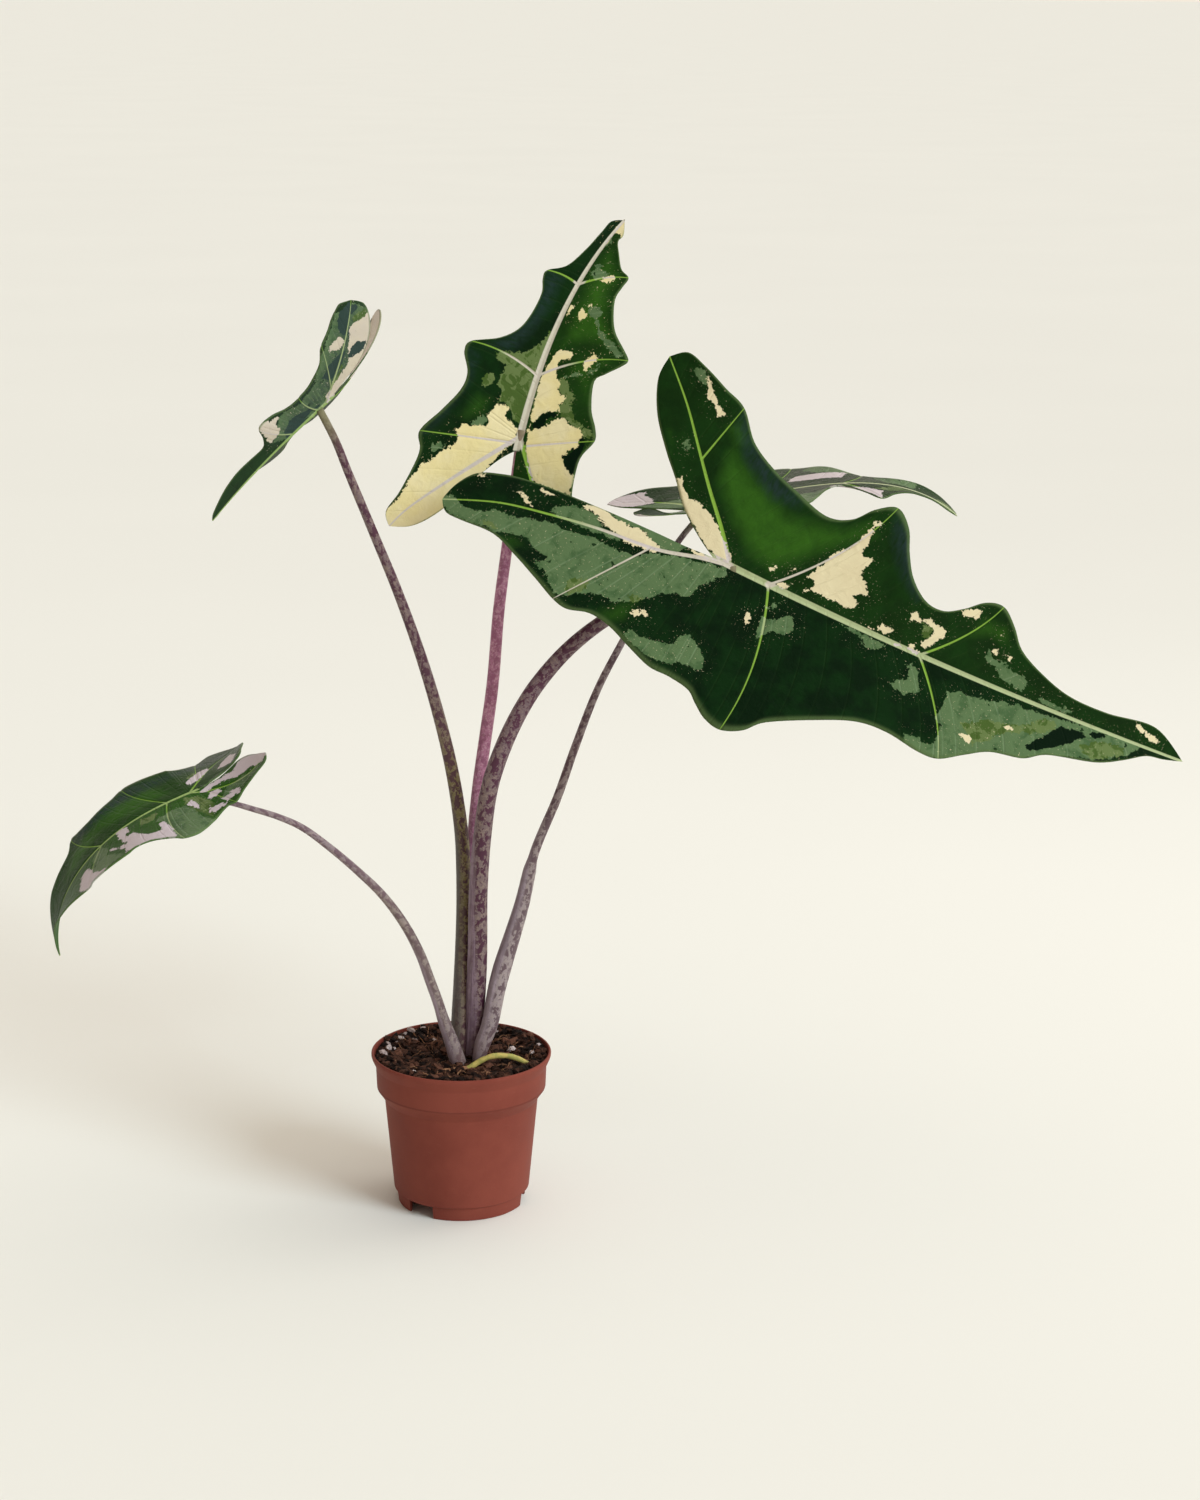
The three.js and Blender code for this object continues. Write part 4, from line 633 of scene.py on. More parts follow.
class LeafSurface:
    """The bent middle surface of a blade."""

    def __init__(self, leaf):
        self.leaf = leaf
        self.seat = np.array(leaf["seat"], float)
        self.along = normalised(np.array(leaf["toward"], float))
        face = np.array(leaf["face"], float)
        self.up = normalised(face - self.along * face.dot(self.along))
        self.across = np.cross(self.along, self.up)
        self.forward = self.trace(leaf["length"] * BLADE["limit"], 1)
        self.backward = self.trace(leaf["back"] * BLADE["limit"], -1)

    def angles(self, a):
        """Droop, sweep and twist at a along the midrib."""
        leaf, power = self.leaf, BLADE["bend_power"]
        front = np.clip(a / leaf["length"], 0, BLADE["limit"])
        rear = np.clip(-a / leaf["back"], 0, BLADE["limit"])
        droop = leaf["droop"][0] * front ** leaf["late"] + leaf["droop"][1] * rear ** power
        sweep = leaf["sweep"][0] * front ** power + leaf["sweep"][1] * rear ** power
        twist = leaf["twist"][0] * front + leaf["twist"][1] * rear
        return np.radians(droop), np.radians(sweep), np.radians(twist)

    def heading(self, droop, sweep, way):
        """Direction of the midrib away from the seat."""
        level = np.cos(droop)
        return np.stack([way * level * np.cos(sweep), -np.sin(droop), level * np.sin(sweep)], axis=1)

    def trace(self, reach, way):
        """Points of the midrib, one a millimetre."""
        droop, sweep, _ = self.angles(way * (np.arange(0, reach) + 0.5))
        return np.vstack([[0, 0, 0], np.cumsum(self.heading(droop, sweep, way), axis=0)])

    def points(self, a, b, lift):
        """Points at a along the midrib and b across it, lifted off the surface."""
        leaf = self.leaf
        ahead = a >= 0
        way = np.where(ahead, 1.0, -1.0)
        middle = [np.where(ahead, np.interp(a, np.arange(len(self.forward)), self.forward[:, axis]),
                           np.interp(-a, np.arange(len(self.backward)), self.backward[:, axis]))
                  for axis in range(3)]
        droop, sweep, twist = self.angles(a)
        tangent = self.heading(droop, sweep, way) * way[:, None]
        flat = np.stack([np.sin(droop) * way, np.cos(droop), np.zeros_like(a)], axis=1)
        flat = normalised(flat - tangent * np.sum(flat * tangent, axis=1, keepdims=True))
        side = np.cross(tangent, flat)
        cos, sin = np.cos(twist)[:, None], np.sin(twist)[:, None]
        normal, right = flat * cos + side * sin, side * cos - flat * sin
        reach = np.minimum(np.abs(a) / np.where(ahead, leaf["length"], leaf["back"]), 1)
        back, seat, tip = (np.where(b > 0, leaf["fold"][1][k], leaf["fold"][0][k]) for k in range(3))
        fold = np.radians(seat + (np.where(ahead, tip, back) - seat) * reach)
        spot = np.stack(middle, axis=1) + right * (b * np.cos(fold))[:, None]
        spot = spot + normal * (np.abs(b) * np.sin(fold) + lift)[:, None]
        return self.seat + spot @ np.stack([self.along, self.up, self.across])


# Distances in the plane of a leaf.
def to_line(points, line):
    """Distance from each point to a broken line, and the share of its length at the nearest place."""
    line = np.array(line, float)
    lengths = np.linalg.norm(np.diff(line, axis=0), axis=1)
    before = np.concatenate([[0], np.cumsum(lengths)])
    best = np.full(len(points), np.inf)
    share = np.zeros(len(points))
    for k, (p, q) in enumerate(zip(line[:-1], line[1:])):
        run = q - p
        t = np.clip((points - p) @ run / max(run @ run, 1e-9), 0, 1)
        distance = np.linalg.norm(points - p - t[:, None] * run, axis=1)
        nearer = distance < best
        best[nearer] = distance[nearer]
        share[nearer] = ((before[k] + t * lengths[k]) / before[-1])[nearer]
    return best, share


def inside_depth(points, outline):
    """Signed distance to a closed outline, positive inside."""
    outline = np.array(outline, float)
    distance, _ = to_line(points, np.vstack([outline, outline[:1]]))
    inside = np.zeros(len(points), bool)
    for p, q in zip(outline, np.roll(outline, -1, axis=0)):
        crosses = (p[1] > points[:, 1]) != (q[1] > points[:, 1])
        edge = p[0] + (points[:, 1] - p[1]) * (q[0] - p[0]) / np.where(q[1] == p[1], 1e-9, q[1] - p[1])
        inside ^= crosses & (points[:, 0] < edge)
    return np.where(inside, distance, -distance)


def near_line(distance, reach):
    """1 on a line, falling to 0 at a distance."""
    return np.clip(1 - distance / reach, 0, 1)


# Meshes.
def mesh_object(name, vertices, faces, material, attributes=None, smooth=True):
    """An object made of vertices in millimetres, with values at each vertex that its material reads."""
    mesh = bpy.data.meshes.new(name)
    mesh.from_pydata((np.asarray(vertices) * MM).tolist(), [], [tuple(map(int, face)) for face in faces])
    for key, values in (attributes or {}).items():
        values = np.asarray(values, np.float32)
        kind, field = ("FLOAT_VECTOR", "vector") if values.ndim == 2 else ("FLOAT", "value")
        mesh.attributes.new(key, kind, "POINT").data.foreach_set(field, values.ravel())
    mesh.materials.append(material)
    mesh.validate()
    mesh.update()
    mesh.polygons.foreach_set("use_smooth", [smooth] * len(mesh.polygons))
    piece = bpy.data.objects.new(name, mesh)
    bpy.context.scene.collection.objects.link(piece)
    return piece


def place(piece, slot, *nodes):
    """Puts a piece on the body and in place of CAD nodes. The slot is not used."""
    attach(piece, "root")
    if nodes:
        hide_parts(*nodes)


def join(parts):
    """Vertices and faces of several shapes as one."""
    faces, first = [], 0
    for vertices, sides in parts:
        faces += [tuple(corner + first for corner in face) for face in sides]
        first += len(vertices)
    return np.vstack([vertices for vertices, _ in parts]), faces


def grid_faces(columns, rows, flip):
    """Quads between neighbouring columns of rows + 1 points each."""
    faces = []
    for column in range(columns - 1):
        for here in range(column * (rows + 1), column * (rows + 1) + rows):
            there = here + rows + 1
            quad = (here, here + 1, there + 1, there)
            faces.append(quad[::-1] if flip else quad)
    return faces


def ring_faces(rings, sides):
    """Quads between closed rings of points, and fans to the two middle points that come after them."""
    pairs = [(side, (side + 1) % sides) for side in range(sides)]
    faces = []
    for k in range(0, (rings - 1) * sides, sides):
        faces += [(k + a, k + b, k + sides + b, k + sides + a) for a, b in pairs]
    last, middle = (rings - 1) * sides, rings * sides
    faces += [(middle, b, a) for a, b in pairs]
    faces += [(middle + 1, last + a, last + b) for a, b in pairs]
    return faces


def clean_faces(faces):
    """Faces without repeated corners."""
    cleaned = []
    for face in faces:
        corners = [c for k, c in enumerate(face) if c != face[k - 1]]
        if len(set(corners)) == len(corners) > 2:
            cleaned.append(corners)
    return cleaned


def rim_faces(quads, count):
    """Faces that join the two sides of a shell round its open edge."""
    edges = {}
    for face in clean_faces(quads):
        for here, there in zip(face, face[1:] + face[:1]):
            if edges.pop((there, here), None) is None:
                edges[(here, there)] = True
    return [(here, here + count, there + count, there) for here, there in edges]


def vertex_normals(vertices, quads):
    normals = np.zeros_like(vertices)
    quads = np.array(quads)
    p, q, r, s = (vertices[quads[:, k]] for k in range(4))
    face_normals = np.cross(r - p, s - q)
    for k in range(4):
        np.add.at(normals, quads[:, k], face_normals)
    return normalised(normals)


# A tube's length is measured in rough steps, and no tube starts in the direction that is sideways.
ROUGH_STEPS = 200
SIDEWAYS = (0.3, 1, 0.2)


def tube(points, radii, sides, step, bumps=()):
    """Tube round a smooth curve: vertices, faces and the share of the length at each vertex."""
    rough = centripetal(points, ROUGH_STEPS)
    length = np.linalg.norm(np.diff(rough, axis=0), axis=1).sum()
    steps = max(int(length / step), 3)
    path = centripetal(points, steps)
    tangents = normalised(np.gradient(path, axis=0))
    across = normalised(np.cross(tangents[0], SIDEWAYS))
    share = np.linspace(0, 1, steps + 1)
    width = np.interp(share, *zip(*radii))
    turn = circle(sides)
    rings = []
    for k in range(steps + 1):
        across = normalised(across - tangents[k] * across.dot(tangents[k]))
        up = np.cross(tangents[k], across)
        waves = (size * np.sin(round_it * turn + along * share[k] + phase)
                 for size, round_it, along, phase in bumps)
        radius = width[k] * (1 + sum(waves, np.zeros(sides)))
        outward = np.cos(turn)[:, None] * across + np.sin(turn)[:, None] * up
        rings.append(path[k] + radius[:, None] * outward)
    vertices = np.vstack([*rings, path[:1], path[-1:]])
    return vertices, ring_faces(steps + 1, sides), np.concatenate([np.repeat(share, sides), [0, 1]])


def lathe(profile, segments):
    """Vertices and faces of a closed body turned from a profile that starts and ends on the axis."""
    rings = [ring(radius, height, segments) for radius, height in profile[1:-1]]
    ends = [[0, 0, profile[0][1]], [0, 0, profile[-1][1]]]
    return np.vstack([*rings, ends]), ring_faces(len(rings), segments)


# Blades.
def costa_of(half):
    """The costa of a basal lobe, and the step at which its side vein leaves it."""
    steps = BLADE["costa_steps"]
    return along_line(half["costa"], np.linspace(0, 1, steps + 1)), max(1, round(steps * half["side_vein"]))


def half_columns(leaf, half):
    """Root and edge points of one half's columns, with their ruffle and bow: outer, then inner."""
    far_vein, near_vein = leaf["veins"]
    costa, branch = costa_of(half)
    roots = [[(leaf["length"], 0), (far_vein, 0)], [(far_vein, 0), (near_vein, 0)],
             [(near_vein, 0), (0, 0)], costa[:branch + 1], costa[branch:]]
    columns, lobe_roots = [], []
    start = 0
    for section, (line, end) in enumerate(zip(roots, half["marks"])):
        count = leaf["sections"][section] * BLADE["columns"]
        share = (1 - np.cos(np.pi * np.linspace(0, 1, count + 1))) / 2
        root, edge = along_line(line, share), along_line(half["outline"], share, start, end)
        ruffled = section in (0, 1, 4)
        bowed = 1 - share if section == 2 else np.full(count + 1, section < 2)
        skip = 0 if section == 0 else 1
        parts = (root, edge, np.sin(np.pi * share) ** 2 * ruffled, BLADE["bow"] * bowed)
        columns.append([part[skip:] for part in parts])
        if section > 2:
            # The second stretch of the costa starts where the first one ends.
            lobe_roots.append(root[section - 3:])
        start = end
    outer = tuple(np.concatenate(parts) for parts in zip(*columns))
    lobe = np.concatenate(lobe_roots)[::-1]
    inner_edge = along_line(half["inner"], np.linspace(0, 1, len(lobe)))
    none = np.zeros(len(lobe))
    return outer, (lobe, inner_edge, none, none)


def blade_grid(columns, side, rows):
    """(a, b, lift, closeness to the edge) of every point, rows crowded near the root."""
    root, edge, lift, bow = columns
    reach = np.linalg.norm(edge - root, axis=1)
    power = np.where(reach > BLADE["crowded_over"], BLADE["crowding"], 1)
    share = np.linspace(0, 1, rows + 1)[None, :] ** power[:, None]
    a = root[:, :1] + (edge - root)[:, :1] * share + (bow * reach)[:, None] * share * (1 - share)
    b = side * (root[:, 1:] + (edge - root)[:, 1:] * share)
    lifts = lift[:, None] * share ** BLADE["lift_power"]
    return np.stack([a, b, lifts, share ** BLADE["edge_power"]], axis=2).reshape(-1, 4)


def bowed_line(root, edge, bow, count, side):
    """Points from root to edge, bowed toward the tip, on one side of the leaf."""
    share = np.linspace(0, 1, count)
    line = root + (edge - root) * share[:, None]
    line[:, 0] += bow * np.linalg.norm(edge - root) * (share * (1 - share))
    return line * (1, side)


def main_veins(leaf, half, side):
    """The main veins of one half as (line, kind of vein, pale share)."""
    outline = np.array(half["outline"], float)
    lines = []
    for vein, mark in zip(leaf["veins"], half["marks"]):
        root = np.array([vein, 0.0])
        lines.append(bowed_line(root, outline[mark], BLADE["bow"], BLADE["vein_points"], side))
    costa, branch = costa_of(half)
    lines.append(np.stack([costa[branch], outline[half["marks"][3]]]) * (1, side))
    lines.append(costa * (1, side))
    return list(zip(lines, (MAIN_VEIN, MAIN_VEIN, SIDE_VEIN, COSTA), leaf["pale"][side > 0]))


def fine_veins(columns, side):
    """Fine veins that fan between the main ones, as lines in the leaf's plane."""
    root, edge, _, bow = columns
    step = BLADE["fine_step"]
    return [bowed_line(root[k], edge[k], bow[k], BLADE["fine_points"], side)
            for k in range(step, len(root) - step, step)
            if np.linalg.norm(edge[k] - root[k]) >= BLADE["shortest_fine"]]


def flat_blade(leaf):
    """The welded flat grid of a blade, its quads, its main veins and its fine veins."""
    parts, veins, fine = [], [], []
    for half, side in zip(leaf["halves"], (-1, 1)):
        outer, inner = half_columns(leaf, half)
        for columns, rows in ((outer, BLADE["rows"]), (inner, BLADE["inner_rows"])):
            faces = grid_faces(len(columns[0]), rows, flip=side > 0)
            parts.append((blade_grid(columns, side, rows), faces))
        veins += main_veins(leaf, half, side)
        fine += fine_veins(outer, side)
    flat, faces = join(parts)
    spots = np.round(flat[:, :2], 3) + 0.0
    _, kept, places = np.unique(spots, axis=0, return_index=True, return_inverse=True)
    quads = [tuple(quad) for quad in places.ravel()[np.array(faces)]]
    return flat[kept], [quad for quad in quads if len(set(quad)) > 2], veins, fine


def rib_fields(leaf, plane, veins):
    """How far each point is inside a rib, the rib's depth and groove there, and how pale it is."""
    a, b = plane.T
    taper = 1 - BLADE["taper"] * np.minimum(np.abs(a) / leaf["length"], 1)
    far = 99
    midrib = np.where(a >= -leaf["back"] * BLADE["rib_back"], np.abs(b), far)
    least, added = BLADE["rib_width"]
    rib = leaf["rib_width"] * (added * taper + least) - midrib
    depth = BLADE["rib_depth"] * taper * near_line(midrib, BLADE["rib_reach"])
    groove = BLADE["groove"] * np.exp(-(midrib / BLADE["rib_groove"]) ** 2)
    pale = leaf["rib"] * np.clip(FIELD["rib_pale"] - midrib, 0, 1)
    for line, (wide, narrow, bump), pale_share in veins:
        distance, share = to_line(plane, line)
        rib = np.maximum(rib, leaf["rib_width"] * (wide + (narrow - wide) * share) - distance)
        height = BLADE["vein_depth"] * (1 - share) * bump
        depth = np.maximum(depth, height * near_line(distance, BLADE["vein_reach"]))
        groove = np.maximum(groove, BLADE["groove"] * np.exp(-(distance / BLADE["vein_groove"]) ** 2))
        pale_here = np.clip((pale_share - share) * FIELD["pale_fade"], 0, 1)
        pale = np.maximum(pale, pale_here * np.clip(FIELD["vein_pale"] - distance, 0, 1))
    return rib, depth, groove, pale


def patch_depth(plane, patches):
    """Signed distance to the nearest of the patches, positive inside."""
    limit = FIELD["reach"]
    depths = [inside_depth(plane, patch) for patch in patches]
    return np.clip(np.max(depths, axis=0), -limit, limit) if depths else np.full(len(plane), -limit)


def soft_share(plane, halves, patches):
    """A share for each half of the leaf, with soft patches where it rises to 1."""
    share = np.where(plane[:, 1] > 0, halves[1], halves[0])
    for patch in patches:
        inside = inside_depth(plane, patch) / FIELD["soft_fade"] + FIELD["soft_rim"]
        share = np.maximum(share, np.clip(inside, 0, 1))
    return share


def blade(name, leaf, number):
    flat, quads, veins, fine = flat_blade(leaf)
    a, b, lift, edge = flat.T
    plane = flat[:, :2]
    rib, depth, groove, pale = rib_fields(leaf, plane, veins)
    fibre = np.min([to_line(plane, line)[0] for line in fine], axis=0)
    fields = {}
    for colour in ("cream", "grey", "olive", "dark"):
        fields[colour] = patch_depth(plane, PATCHES.get((name, colour), []))
    fields["rib"] = np.clip(rib, -FIELD["reach"], FIELD["rib_top"])
    fields["fibre"] = np.minimum(fibre, FIELD["reach"])
    fields["edge"] = edge
    fields["fresh"] = soft_share(plane, leaf["fresh"], PATCHES.get((name, "fresh"), []))
    # The sheen field places a painted reflection in soft patches.
    fields["painted_sheen"] = soft_share(plane, (0, 0), PATCHES.get((name, "painted_sheen"), []))
    fields["lit_cream"] = np.full(len(flat), leaf["lit_cream"])
    fields["rib_warm"] = pale
    attributes = {key: np.tile(values, 2) for key, values in fields.items()}
    attributes["under"] = np.repeat([0.0, 1.0], len(flat))
    apart = np.full(len(flat), FIELD["apart"] * number)
    attributes["leaf"] = np.tile(np.stack([a, b, apart], axis=1), (2, 1))
    middle = LeafSurface(leaf).points(a, b, leaf["ruffle"] * lift)
    normals = vertex_normals(middle, quads)
    upper = middle + normals * (BLADE["half_thickness"] - groove)[:, None]
    lower = middle - normals * (BLADE["half_thickness"] + depth)[:, None]
    under = [tuple(corner + len(flat) for corner in quad[::-1]) for quad in quads]
    faces = clean_faces(quads + under + rim_faces(quads, len(flat)))
    piece = mesh_object(f"leaf_{name}", np.vstack([upper, lower]), faces, MATERIALS["blade"], attributes)
    place(piece, "blade", f"blade_{name}")


# Stalks.
def stalk(name, leaf, number):
    surface = LeafSurface(leaf)
    end = surface.seat - surface.up * STALK["seat_below"] + surface.along * STALK["seat_ahead"]
    bumps = [(*STALK["ridges"], number), (*STALK["lines"], 0)]
    sides = STALK["sides"]
    vertices, faces, shares = tube([*leaf["petiole"], end], leaf["radii"], sides, STALK["step"], bumps)
    turn = np.resize(circle(sides), len(vertices))
    width = np.interp(shares, *zip(*leaf["radii"]))
    length = np.linalg.norm(np.diff(np.array(leaf["petiole"], float), axis=0), axis=1).sum()
    across = width * np.sin(turn) + FIELD["apart"] * number
    rings = vertices[:-2].reshape(-1, sides, 3)
    outward = normalised((rings - rings.mean(axis=1, keepdims=True)).reshape(-1, 3))
    skin = np.stack([width * np.cos(turn), shares * length, across], axis=1)
    attributes = {"share": shares, "skin": skin}
    for key in ("flush", "yellow", "dusk"):
        attributes[key] = leaf[key] * np.interp(shares, *STALK[key])
    # lift is the share of painted light that pales the stalk's skin.
    for key in ("spots", "lift"):
        attributes[key] = np.full(len(vertices), leaf[key])
    attributes["side"] = np.concatenate([outward[:, 0], [0, 0]])
    piece = mesh_object(f"stalk_{name}", vertices, faces, MATERIALS["petiole"], attributes)
    place(piece, "petiole", f"petiole_{name}")


# Pot and soil.
def rounded(profile, radius, steps=4, share=0.45):
    """The profile with its corners rounded, at most over a share of each side, its two ends kept."""
    profile = np.array(profile, float)
    points = [profile[0]]
    for before, corner, after in zip(profile[:-2], profile[1:-1], profile[2:]):
        cut_in, cut_out = (min(radius, np.linalg.norm(end - corner) * share) for end in (before, after))
        start = corner + normalised(before - corner) * cut_in
        stop = corner + normalised(after - corner) * cut_out
        for t in np.linspace(0, 1, steps + 1):
            points.append((1 - t) ** 2 * start + 2 * t * (1 - t) * corner + t ** 2 * stop)
    return np.array(points + [profile[-1]])


def notch_cutter(angle):
    """Box that cuts a notch through the foot ring."""
    notch = POT["notch"]
    corners = np.array([(x, y, z) for x in (-1, 1) for y in (-1, 1) for z in (-1, 1)])
    corners = corners * (notch["width"] / 2, notch["depth"] / 2, notch["height"]) + (0, -notch["ring"], 0)
    cos, sin = math.cos(angle), math.sin(angle)
    faces = [(0, 1, 3, 2), (4, 6, 7, 5), (0, 4, 5, 1), (2, 3, 7, 6), (0, 2, 6, 4), (1, 5, 7, 3)]
    return corners @ np.array([[cos, sin, 0], [-sin, cos, 0], [0, 0, 1]]), faces


def drain_cutter(angle):
    """Cylinder that cuts a drain hole."""
    drain = POT["drain"]
    sides, half = drain["sides"], drain["depth"] / 2
    spot = (drain["ring"] * math.cos(angle), drain["ring"] * math.sin(angle), POT["channel_height"])
    faces = [tuple(reversed(range(sides))), tuple(range(sides, 2 * sides))]
    faces += [(k, (k + 1) % sides, sides + (k + 1) % sides, sides + k) for k in range(sides)]
    rings = [ring(drain["radius"], height, sides) for height in (-half, half)]
    return np.vstack(rings) + spot, faces


def cut(body, shape):
    """Takes a closed shape out of the body's mesh."""
    cutter = mesh_object("cutter", *shape, MATERIALS["pot"])
    modifier = body.modifiers.new("cut", "BOOLEAN")
    modifier.operation = "DIFFERENCE"
    modifier.solver = "EXACT"
    modifier.object = cutter
    cut_mesh = bpy.data.meshes.new_from_object(body.evaluated_get(bpy.context.evaluated_depsgraph_get()))
    body.modifiers.clear()
    body.data = cut_mesh
    bpy.data.objects.remove(cutter)


def pot():
    pad, channel, channel_height = POT["pad"], POT["channel"], POT["channel_height"]
    wall, base = POT["wall"], POT["floor"]
    profile = [(0, 0), (pad, 0), (channel, channel_height), (POT["outer"][0][0], channel_height),
               *POT["outer"], *POT["inner"], POT["inner_foot"],
               (channel - wall, channel_height + base), (pad - wall, base), (0, base)]
    shape = lathe(rounded(profile, POT["rounding"]), POT["segments"])
    body = mesh_object("nursery_pot", *shape, MATERIALS["pot"])
    notch, drain = POT["notch"], POT["drain"]
    for k in range(notch["count"]):
        cut(body, notch_cutter(math.radians(notch["first"] + 360 * k / notch["count"])))
    for k in range(drain["count"]):
        cut(body, drain_cutter(FULL_TURN * (k + 0.5) / drain["count"]))
    body.data.set_sharp_from_angle(angle=math.radians(POT["sharp"]))
    place(body, "pot", "pot")


def ripple(x, y):
    """Height of the soil's bumps: waves in four sizes, bent by one another."""
    waves = np.sin(x / 4.1 + 1.3 * np.sin(y / 5.7)) * np.cos(y / 3.6 + 0.8 * np.sin(x / 6.3))
    crumbs = np.sin(x * 0.83 + 2.1) * np.sin(y * 0.71 + x * 0.21)
    fine = np.sin(x * 2.3 + 2 * np.sin(y * 1.9)) * np.sin(y * 2.1 + 1.7 * np.sin(x * 1.3))
    specks = np.sin(x * 5.1 + y * 1.7) * np.sin(y * 4.6 - x * 2.2)
    return SOIL["relief"] * (0.4 * waves + 0.4 * crumbs + 0.25 * fine + 0.1 * specks)


def soil_height(x, y):
    start, width = SOIL["rim"]
    rim = np.clip((np.hypot(x, y) - start) / width, 0, 1) ** SOIL["rim_power"]
    back = np.clip(y / SOIL["back"], 0, 1)
    dip, (dip_x, dip_y) = SOIL["dip"], SOIL["dip"]["place"]
    hollow = dip["depth"] * np.exp(-((x - dip_x) ** 2 + (y - dip_y) ** 2) / dip["width"])
    bumps = ripple(x, y) * (1 - SOIL["rim_smooth"] * rim)
    return SOIL["level"] + SOIL["rim_rise"] * rim + SOIL["back_rise"] * back + bumps - hollow


def soil():
    radii = SOIL["radius"] * np.linspace(0, 1, SOIL["rings"] + 1)[1:] ** SOIL["crowding"]
    top = [(radius, SOIL["level"]) for radius in radii[::-1]]
    vertices, faces = lathe(SOIL["side"] + top + [(0, SOIL["level"])], SOIL["segments"])
    surface = vertices[:, 2] > SOIL["top_from"]
    vertices[surface, 2] = soil_height(vertices[surface, 0], vertices[surface, 1])
    # Painted shade and light: darker in the hollows of the bumps, lighter on their tops.
    base, contrast = SOIL["tone"]
    tone = np.clip(base + contrast * ripple(vertices[:, 0], vertices[:, 1]), 0, 1)
    place(mesh_object("soil_bed", vertices, faces, MATERIALS["soil"], {"tone": tone}), "soil", "soil")


# Litter on the soil.
# A grain starts as an icosahedron with its corners about 1 from its middle.
GOLD, REACH = 1.618, 1.9
GRAIN_CORNERS = np.array([(0, -1, GOLD), (0, 1, GOLD), (0, -1, -GOLD), (0, 1, -GOLD), (GOLD, 0, 1),
                          (GOLD, 0, -1), (-GOLD, 0, 1), (-GOLD, 0, -1), (-1, GOLD, 0), (1, GOLD, 0),
                          (-1, -GOLD, 0), (1, -GOLD, 0)]) / REACH
GRAIN_FACES = [(0, 4, 1), (0, 1, 6), (0, 6, 10), (0, 10, 11), (0, 11, 4), (1, 4, 9), (1, 9, 8), (1, 8, 6),
               (2, 3, 5), (2, 5, 11), (2, 11, 10), (2, 10, 7), (2, 7, 3), (3, 7, 8), (3, 8, 9), (3, 9, 5),
               (4, 5, 9), (4, 11, 5), (6, 8, 7), (6, 7, 10)]


def scatter(random, count, reach):
    """Places spread evenly over a disc."""
    turn, distance = random.random(count) * FULL_TURN, reach * np.sqrt(random.random(count))
    return np.stack([distance * np.cos(turn), distance * np.sin(turn)], axis=1)


def drawn(random, count, least, spread, power):
    """Random values from least up, fewer of them high where the power is high; one value if count is None."""
    return least + spread * random.random(count) ** power


def grains(name, kind, material, spots, sizes, tones, random):
    """Irregular twenty-sided grains lying in the soil, joined in one piece."""
    flatness = kind["flatness"]
    above = (flatness - kind["sink"]) * kind["above"]
    parts = []
    for (x, y), size in zip(spots, sizes):
        corners = GRAIN_CORNERS * (1 + kind["rough"] * (random.random((12, 1)) - 0.5))
        turn = np.linalg.qr(random.normal(size=(3, 3)))[0]
        turn = turn * np.sign(np.linalg.det(turn))
        stretch = 1 + kind["stretch"] * (random.random(3) - 0.5)
        corners = (corners * stretch) @ turn.T * size * (1, 1, flatness)
        parts.append((corners + (x, y, soil_height(x, y) + size * above), GRAIN_FACES))
    tone = np.repeat(tones, len(GRAIN_CORNERS))
    place(mesh_object(name, *join(parts), MATERIALS[material], {"tone": tone}, smooth=False), "soil")


def fibres(random):
    parts, tones = [], []
    for _ in range(FIBRES["count"]):
        start = scatter(random, 1, FIBRES["reach"])[0]
        heading = random.random() * FULL_TURN
        length = drawn(random, None, *FIBRES["length"])
        share = np.linspace(0, 1, FIBRES["points"])
        angle = heading + random.normal() * FIBRES["curl"] * share
        steps = np.stack([np.cos(angle), np.sin(angle)], axis=1) * length / len(share)
        line = start + np.cumsum(steps, axis=0)
        line *= np.minimum(1, FIBRES["limit"] / np.maximum(np.hypot(*line.T), 1))[:, None]
        height = soil_height(*line.T) + FIBRES["above"] + FIBRES["rise"] * random.random() ** 2 * share
        width = drawn(random, None, *FIBRES["width"])
        ends = [(0, width), (FIBRES["thins_from"], width), (1, width * FIBRES["tip"])]
        path = np.column_stack([line, height])
        parts.append(tube(path, ends, FIBRES["sides"], FIBRES["step"])[:2])
        tones += [random.random() ** FIBRES["tone_power"]] * len(parts[-1][0])
    place(mesh_object("soil_fibres", *join(parts), MATERIALS["fibre"], {"tone": tones}), "soil")


def woody(name, path, radii, kind):
    """A brown twig or rootlet."""
    points, faces, _ = tube(path, radii, kind["sides"], kind["step"], kind["bumps"])
    tone = np.full(len(points), kind["tone"])
    place(mesh_object(name, points, faces, MATERIALS["fibre"], {"tone": tone}), "soil")


def litter():
    """Bark crumbs, perlite, fibres and a twig on the soil."""
    random = np.random.default_rng(SEED)
    count = CRUMBS["count"]
    spots = scatter(random, count, CRUMBS["reach"])
    # Painted shade and light: crumbs darker in the hollows of the bumps and lighter on their tops.
    base, contrast, low, high = CRUMBS["bump_shading"]
    tones = drawn(random, count, *CRUMBS["tone"]) * np.clip(base + contrast * ripple(*spots.T), low, high)
    grains("soil_crumbs", CRUMBS, "soil", spots, drawn(random, count, *CRUMBS["size"]), tones, random)
    spots = scatter(random, CHIPS["count"], CHIPS["reach"])
    for name, kind, material, spots in (("bark_chips", CHIPS, "soil", spots),
                                        ("perlite", PERLITE, "perlite", PERLITE["spots"])):
        sizes = drawn(random, len(spots), *kind["size"])
        tones = drawn(random, len(spots), *kind["tone"])
        grains(name, kind, material, spots, sizes, tones, random)
    fibres(random)
    woody("twig", TWIG["path"], TWIG["radii"], TWIG)


